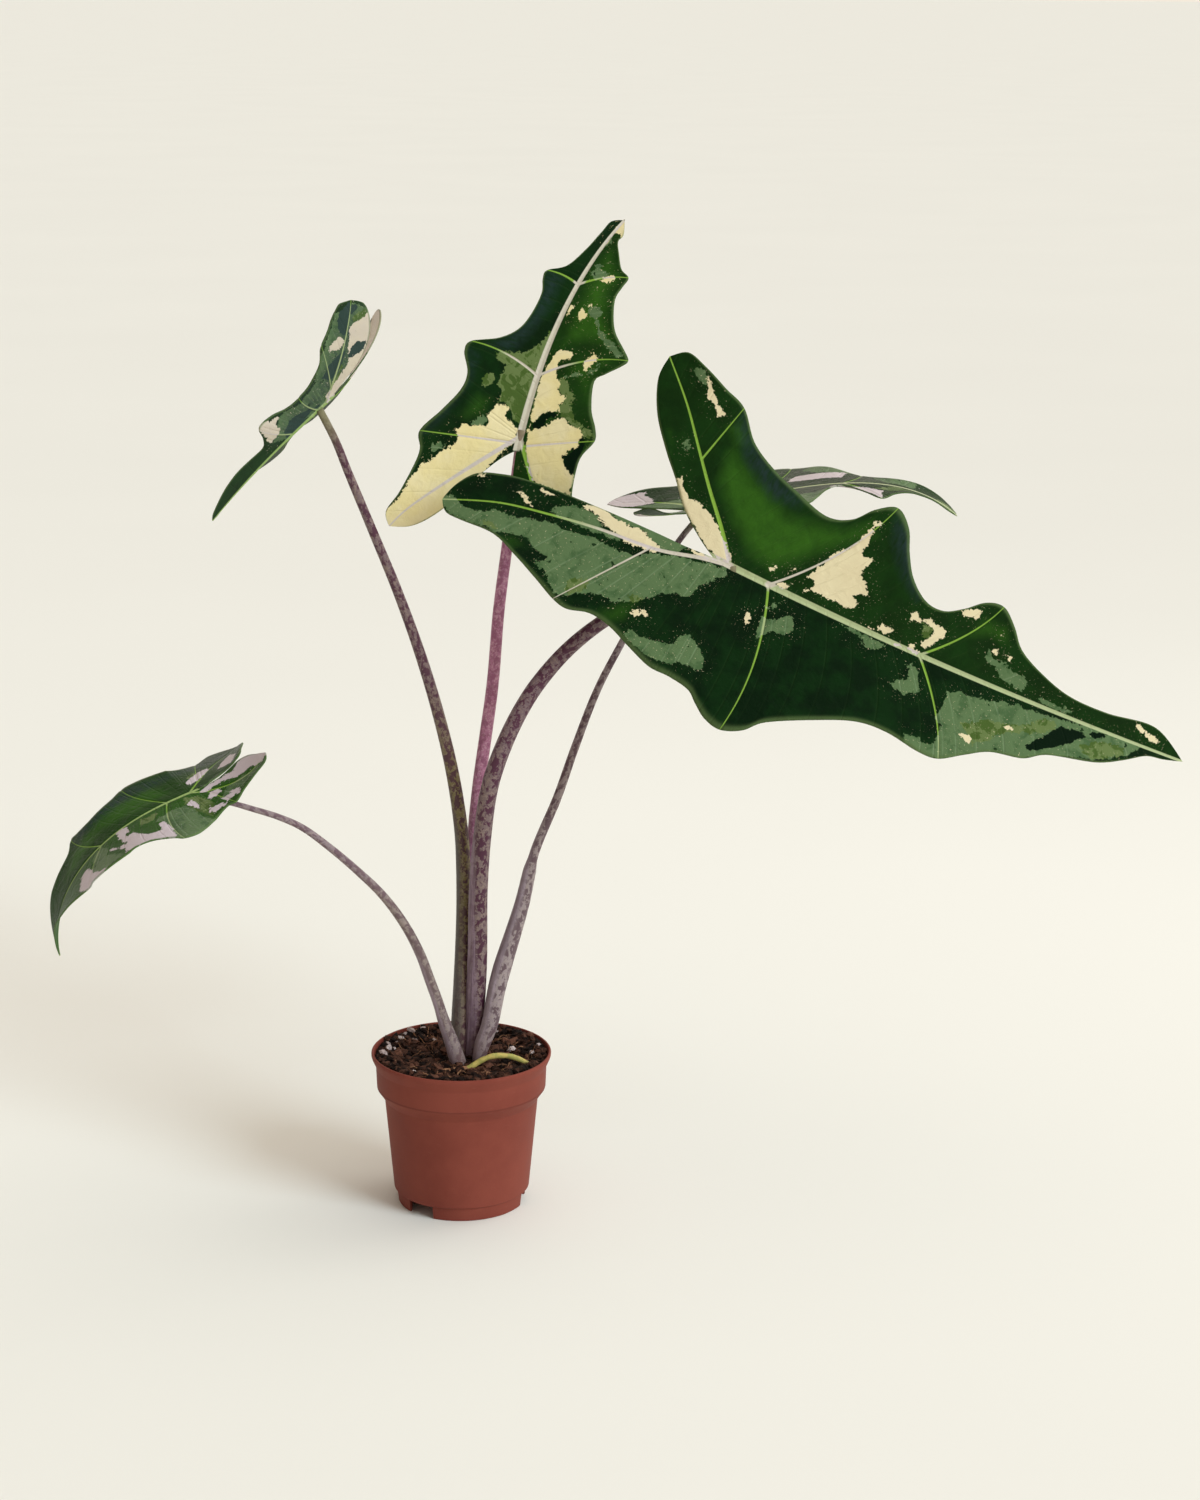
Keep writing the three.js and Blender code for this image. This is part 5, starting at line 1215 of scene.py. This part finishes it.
def surface_root():
    vertices, faces, shares = tube(ROOT["points"], ROOT["radii"], ROOT["sides"], ROOT["step"], ROOT["bumps"])
    piece = mesh_object("arching_root", vertices, faces, MATERIALS["root"], {"share": shares})
    place(piece, "root", "surface_root")
    for number, (path, width) in enumerate(zip(ROOT_TAILS["paths"], ROOT_TAILS["widths"])):
        radii = [(0, width), (1, ROOT_TAILS["tip"])]
        woody(f"root_tail_{number + 1}", path, radii, ROOT_TAILS)


# Materials.
class Nodes:
    """A node tree that is put together from a few kinds of nodes."""

    def __init__(self, tree):
        self.tree = tree

    def node(self, kind, inputs, output=0, **settings):
        """Adds a node, with values or other nodes' outputs as inputs, and gives one of its outputs."""
        node = self.tree.nodes.new(kind)
        for key, value in settings.items():
            setattr(node, key, value)
        for key, value in inputs.items():
            if isinstance(value, bpy.types.NodeSocket):
                self.tree.links.new(value, node.inputs[key])
            else:
                node.inputs[key].default_value = value
        return node.outputs[output]

    def attribute(self, name, output="Fac"):
        return self.node("ShaderNodeAttribute", {}, output, attribute_name=name)

    def position(self):
        return self.node("ShaderNodeTexCoord", {}, "Object")

    def noise(self, vector, scale, detail=3, roughness=0.5, distortion=0, stretch=None):
        if stretch:
            vector = self.node("ShaderNodeMapping", {"Vector": vector, "Scale": stretch})
        inputs = {"Vector": vector, "Scale": scale, "Detail": detail, "Roughness": roughness}
        return self.node("ShaderNodeTexNoise", {**inputs, "Distortion": distortion})

    def math(self, operation, a, b=0.0):
        return self.node("ShaderNodeMath", {0: a, 1: b}, operation=operation)

    def add(self, a, b):
        return self.math("ADD", a, b)

    def times(self, a, b):
        return self.math("MULTIPLY", a, b)

    def swing(self, noise, size):
        """Noise moved to lie on both sides of 0."""
        return self.times(self.math("SUBTRACT", noise, 0.5), size)

    def ramp(self, value, low, high, start=0.0, end=1.0):
        """start where value is below low, end where it is above high."""
        inputs = {"Value": value, "From Min": low, "From Max": high, "To Min": start, "To Max": end}
        return self.node("ShaderNodeMapRange", inputs, interpolation_type="SMOOTHSTEP")

    def mix(self, factor, a, b):
        """a where the factor is 0 and b where it is 1: names of colours, colours or outputs."""
        inputs = {0: factor, 6: a, 7: b}
        for key in (6, 7):
            if not isinstance(inputs[key], bpy.types.NodeSocket):
                inputs[key] = (*COLOURS.get(inputs[key], inputs[key]), 1)
        return self.node("ShaderNodeMix", inputs, 2, data_type="RGBA")

    def bump(self, height, strength, distance):
        return self.node("ShaderNodeBump", {"Height": height, "Strength": strength, "Distance": distance})


class Shader(Nodes):
    """A node material with one principled shader."""

    def __init__(self, name, specular):
        self.material = bpy.data.materials.new(name)
        self.material.use_nodes = True
        super().__init__(self.material.node_tree)
        self.inputs = self.tree.nodes["Principled BSDF"].inputs
        self.inputs["Specular IOR Level"].default_value = specular

    def finish(self, colour, roughness, normal=None):
        for key, output in (("Base Color", colour), ("Roughness", roughness), ("Normal", normal)):
            if output is not None:
                self.tree.links.new(output, self.inputs[key])
        return self.material


def dimmed(name, share):
    return tuple(share * value for value in COLOURS[name])


def patch_mask(s, leaf, name, raggedness, shift):
    """1 where a patch of that name lies, with a ragged edge, and its depth in millimetres."""
    moved = s.node("ShaderNodeVectorMath", {0: leaf, 1: (shift, -shift, 0)}, operation="ADD")
    coarse = s.swing(s.noise(moved, 0.17, 3, 0.55, 0.3), raggedness * 0.6)
    crisp = s.swing(s.noise(moved, 0.6, 3, 0.6, 0.2), raggedness * 0.45)
    depth = s.add(s.attribute(name), s.add(coarse, crisp))
    return s.ramp(depth, -0.12, 0.12), depth


def blade_material():
    s = Shader("leaf_blade", 0.05)
    leaf, under, lit_cream = s.attribute("leaf", "Vector"), s.attribute("under"), s.attribute("lit_cream")
    broad = s.noise(leaf, 0.045, 3, 0.6)
    wide = s.noise(leaf, 0.11, 4, 0.6, 0.4)
    ragged = s.noise(leaf, 0.13, 3, 0.5)
    grain = s.noise(leaf, 0.75, 4, 0.7)
    fine = s.noise(leaf, 3.2, 3, 0.6)
    # The green, with fresher parts, fine veins and a painted sheen, a painted reflection in streaks.
    green = s.mix(s.ramp(broad, 0.38, 0.62), "leaf_dark", "leaf_green")
    fresh = s.times(s.attribute("fresh"), s.ramp(wide, 0.25, 0.7, 0.75, 1))
    green = s.mix(fresh, green, "leaf_fresh")
    veins = s.times(s.ramp(s.attribute("fibre"), 0.05, 0.9, 1, 0), s.ramp(broad, 0.4, 0.6, 0.4, 1))
    green = s.mix(s.times(veins, 0.04), green, "olive")
    streaks = s.noise(leaf, 0.5, 3, stretch=(1, 0.25, 1))
    painted_sheen = s.times(s.attribute("painted_sheen"), s.ramp(streaks, 0.3, 0.6, 0.3, 1))
    green = s.mix(painted_sheen, green, "painted_sheen")
    # The patches, from the darkest to the palest.
    olive_mask, _ = patch_mask(s, leaf, "olive", 12, 31)
    olive = s.mix(s.ramp(wide, 0.49, 0.51), "olive", "olive_pale")
    grey_mask, grey_depth = patch_mask(s, leaf, "grey", 11, 67)
    grey = s.mix(s.ramp(wide, 0.36, 0.50), "grey", "grey_pale")
    grey = s.mix(s.ramp(fine, 0.35, 0.65, 0, 0.15), grey, "grey")
    grey = s.mix(s.times(veins, 0.42), grey, "vein_pale")
    grey = s.mix(s.ramp(ragged, 0.69, 0.70, 0, 0.9), grey, "leaf_green")
    # The painted sheen lies over the grey patches too.
    grey = s.mix(s.times(painted_sheen, 0.65), grey, "painted_sheen")
    cream_mask, cream_depth = patch_mask(s, leaf, "cream", 10, 11)
    # Painted shade: the pale patches are lilac, the cream as it looks in shade, where a leaf's share of lit
    # cream is low, and cream where it is high.
    pale = s.mix(lit_cream, "lilac", "cream")
    pale = s.mix(s.times(s.ramp(broad, 0.35, 0.65, 0, 0.6), lit_cream), pale, "ivory")
    pale = s.mix(s.ramp(grain, 0.70, 0.715, 0, 0.7), pale, "olive_pale")
    near = s.ramp(s.math("MAXIMUM", cream_depth, grey_depth), -10, -1)
    specks = s.times(s.ramp(grain, 0.645, 0.66), near)
    dark_mask, _ = patch_mask(s, leaf, "dark", 8, 43)
    colour = s.mix(grey_mask, green, grey)
    colour = s.mix(olive_mask, colour, olive)
    colour = s.mix(specks, colour, pale)
    colour = s.mix(cream_mask, colour, pale)
    colour = s.mix(dark_mask, colour, s.mix(under, "leaf_dark", "blue_grey"))
    colour = s.mix(s.ramp(s.attribute("edge"), 0.45, 0.9, 0, 0.6), colour, "edge")
    # The ribs, paler where they cross a pale patch.
    crossed = s.math("MAXIMUM", cream_mask, s.times(grey_mask, 0.4))
    rib = s.mix(s.math("MAXIMUM", s.attribute("rib_warm"), crossed), "rib_green", "rib_cream")
    rib = s.mix(s.times(cream_mask, 0.5), rib, "lilac")
    colour = s.mix(s.ramp(s.attribute("rib"), -0.25, 0.3, 0, 0.95), colour, rib)
    colour = s.mix(under, colour, s.mix(0.16, colour, "under"))
    roughness = s.add(s.ramp(fine, 0.3, 0.7, 0.26, 0.36), s.times(under, 0.2))
    relief = s.add(s.add(s.times(veins, -0.8), s.times(fine, 0.3)), s.times(wide, 3.0))
    return s.finish(colour, roughness, s.bump(relief, 0.5, 0.0008))


def petiole_material():
    s = Shader("petiole_skin", 0.3)
    skin = s.attribute("skin", "Vector")
    flush, share, spots = s.attribute("flush"), s.attribute("share"), s.attribute("spots")
    blotches = s.noise(skin, 0.29, 4, 0.68, 0.4, stretch=(1, 0.75, 1))
    pale_cells = s.noise(skin, 0.6, 3, 0.6, 0.6, stretch=(1, 1.3, 1))
    streaks = s.noise(skin, 0.22, 3, 0.5, stretch=(1, 0.06, 1))
    threads = s.noise(skin, 0.75, 3, 0.6, stretch=(1.6, 0.05, 1))
    # The right side and the upper part are speckled, and the rest is smoother.
    side = s.add(s.add(s.attribute("side"), s.swing(streaks, 2.2)), s.ramp(share, 0.28, 0.5, 0, 1.1))
    speckled = s.ramp(side, -0.6, 0.35, 0.2, 1)
    smooth = s.mix(flush, "stalk", "stalk_rosy")
    smooth = s.mix(s.ramp(threads, 0.4, 0.6, 0, 0.75), smooth, s.mix(flush, "thread", "thread_rosy"))
    smooth = s.mix(s.attribute("dusk"), smooth, "dusk")
    rough = s.mix(s.attribute("yellow"), "shade", "shade_yellow")
    rough = s.mix(s.ramp(flush, 0.3, 0.9), rough, "shade_rosy")
    colour = s.mix(speckled, smooth, rough)
    cells = s.times(s.ramp(pale_cells, 0.51, 0.57, 0, 0.5), speckled)
    colour = s.mix(cells, colour, s.mix(flush, "cell", "cell_rosy"))
    # Painted light: a paler skin over stalks that lie in the shade of the leaves above.
    colour = s.mix(s.attribute("lift"), colour, "lift")
    dark = s.times(s.ramp(blotches, 0.468, 0.54, 0, 0.95), s.times(speckled, spots))
    colour = s.mix(dark, colour, s.mix(flush, "spot", "spot_rosy"))
    foot = s.times(s.ramp(share, 0.04, 0.12, 0.75, 0), s.ramp(spots, 0.5, 0.9, 1, 0.15))
    colour = s.mix(foot, colour, "stalk_foot")
    colour = s.mix(s.ramp(share, 0.93, 1.0, 0, 0.8), colour, "stalk_top")
    relief = s.add(s.times(blotches, 0.6), threads)
    return s.finish(colour, s.ramp(threads, 0.3, 0.7, 0.38, 0.52), s.bump(relief, 0.3, 0.0005))


def pot_material():
    s = Shader("terracotta_plastic", 0.12)
    spot = s.position()
    cloud = s.noise(spot, 22, 4, 0.6)
    fine = s.noise(spot, 900, 3, 0.6)
    scuffs = s.noise(spot, 120, 4, 0.7, stretch=(1, 1, 6))
    colour = s.mix(s.ramp(cloud, 0.3, 0.7), "pot", "pot_light")
    colour = s.mix(s.ramp(scuffs, 0.62, 0.75, 0, 0.2), colour, "pot_scuff")
    colour = s.mix(s.ramp(fine, 0.6, 0.75, 0, 0.15), colour, "pot_dark")
    # Painted shade: a thin dark line at the bottom of the collar, where its concave edge is shaded.
    height = s.node("ShaderNodeSeparateXYZ", {0: spot}, "Z")
    from_crease = s.math("ABSOLUTE", s.math("SUBTRACT", height, POT["crease"] * MM))
    colour = s.mix(s.ramp(from_crease, 0.0002, 0.0008, 0.4, 0), colour, "painted_crease_shade")
    relief = s.add(fine, s.times(scuffs, 0.6))
    return s.finish(colour, s.ramp(cloud, 0.3, 0.7, 0.56, 0.66), s.bump(relief, 0.18, 0.0003))


def earth_material(name, dark, light, roughness):
    s = Shader(name, 0.2)
    spot = s.position()
    grain = s.noise(spot, 900, 5, 0.7)
    cloud = s.noise(spot, 112.5, 3, 0.6)
    tone = s.add(s.attribute("tone"), s.ramp(cloud, 0.35, 0.65, -0.3, 0.3))
    colour = s.mix(tone, dark, light)
    colour = s.mix(s.ramp(grain, 0.35, 0.6, 0.5, 0), colour, dimmed(dark, 0.35))
    roughness = s.ramp(grain, 0.3, 0.7, roughness - 0.1, roughness)
    return s.finish(colour, roughness, s.bump(s.add(grain, cloud), 0.7, 0.0009))


def root_material():
    s = Shader("root_skin", 0.3)
    cells = s.noise(s.position(), 260, 4, 0.6)
    colour = s.mix(s.ramp(cells, 0.42, 0.62), "root", "root_green")
    colour = s.mix(s.ramp(s.attribute("share"), 0.75, 1.0, 0, 0.6), colour, "root_tip")
    return s.finish(colour, s.ramp(cells, 0.3, 0.7, 0.5, 0.7), s.bump(cells, 0.4, 0.0005))


def corm_material():
    s = Shader("corm_skin", 0.25)
    bands = s.noise(s.position(), 120, 5, 0.65, stretch=(1, 1, 5))
    colour = s.mix(s.ramp(bands, 0.35, 0.65), "corm", "corm_light")
    return s.finish(colour, s.ramp(bands, 0.3, 0.7, 0.75, 0.95), s.bump(bands, 0.8, 0.002))


def floor_material():
    s = Shader("studio_floor", 0.1)
    cloud = s.noise(s.position(), 1.4, 2, 0.5)
    colour = s.mix(s.ramp(cloud, 0.2, 0.8), dimmed("backdrop", FLOOR["shade"]), "backdrop")
    return s.finish(colour, s.ramp(cloud, 0, 1, 0.85, 0.9))


# Stage.
def floor():
    size = FLOOR["size"]
    corners = [(-size, -size, 0), (size, -size, 0), (size, size, 0), (-size, size, 0)]
    mesh_object("floor", corners, [(0, 1, 2, 3)], floor_material())


def lights():
    for name, light in LIGHTS.items():
        data = bpy.data.lights.new(name, light["kind"])
        for key, value in light["settings"].items():
            setattr(data, key, value)
        lamp = bpy.data.objects.new(name, data)
        lamp.location = light["place"]
        lamp.rotation_euler = [math.radians(angle) for angle in light["turn"]]
        lamp.visible_glossy = light["glossy"]
        bpy.context.scene.collection.objects.link(lamp)


def sky():
    """Studio surroundings: a pale band at floor level and a wide glow from the right."""
    world = bpy.data.worlds.new("studio")
    world.use_nodes = True
    s = Nodes(world.node_tree)
    direction = s.node("ShaderNodeTexCoord", {}, "Generated")
    toward = {0: direction, 1: SKY["glow_toward"]}
    glow = s.node("ShaderNodeVectorMath", toward, "Value", operation="DOT_PRODUCT")
    glow = s.ramp(glow, *SKY["glow_span"], *SKY["glow"])
    height = s.node("ShaderNodeSeparateXYZ", {0: direction}, "Z")
    band = s.ramp(height, *SKY["band_span"], 1, 0)
    strength = s.node("ShaderNodeMix", {0: band, 2: glow, 3: SKY["band"]})
    background = s.tree.nodes["Background"].inputs
    background["Color"].default_value = (*COLOURS["sky"], 1)
    s.tree.links.new(strength, background["Strength"])
    bpy.context.scene.world = world


def camera():
    data = bpy.data.cameras.new("camera")
    data.sensor_width = CAMERA["sensor"]
    data.lens = CAMERA["lens"]
    data.clip_start, data.clip_end = CAMERA["near"], CAMERA["far"]
    taker = bpy.data.objects.new("camera", data)
    taker.location = CAMERA["place"]
    tilt, roll = math.radians(90 - CAMERA["down"]), math.radians(CAMERA["roll"])
    taker.rotation_euler = (Matrix.Rotation(tilt, 3, "X") @ Matrix.Rotation(roll, 3, "Z")).to_euler()
    bpy.context.scene.collection.objects.link(taker)
    bpy.context.scene.camera = taker
    bpy.context.scene.view_settings.view_transform = "Standard"
    bpy.context.scene.view_settings.look = "None"


camera()
floor()
lights()
sky()
MATERIALS = {
    "blade": blade_material(),
    "petiole": petiole_material(),
    "pot": pot_material(),
    "soil": earth_material("potting_soil", "soil", "soil_light", 0.95),
    "perlite": earth_material("perlite_grains", "perlite", "perlite_light", 0.85),
    "fibre": earth_material("coir_fibre", "fibre", "fibre_light", 0.8),
    "root": root_material(),
}
for number, (name, leaf) in enumerate(LEAVES.items()):
    blade(name, leaf, number)
    stalk(name, leaf, number)
pot()
soil()
litter()
surface_root()
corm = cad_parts["corm"]
corm.data.materials.clear()
corm.data.materials.append(corm_material())
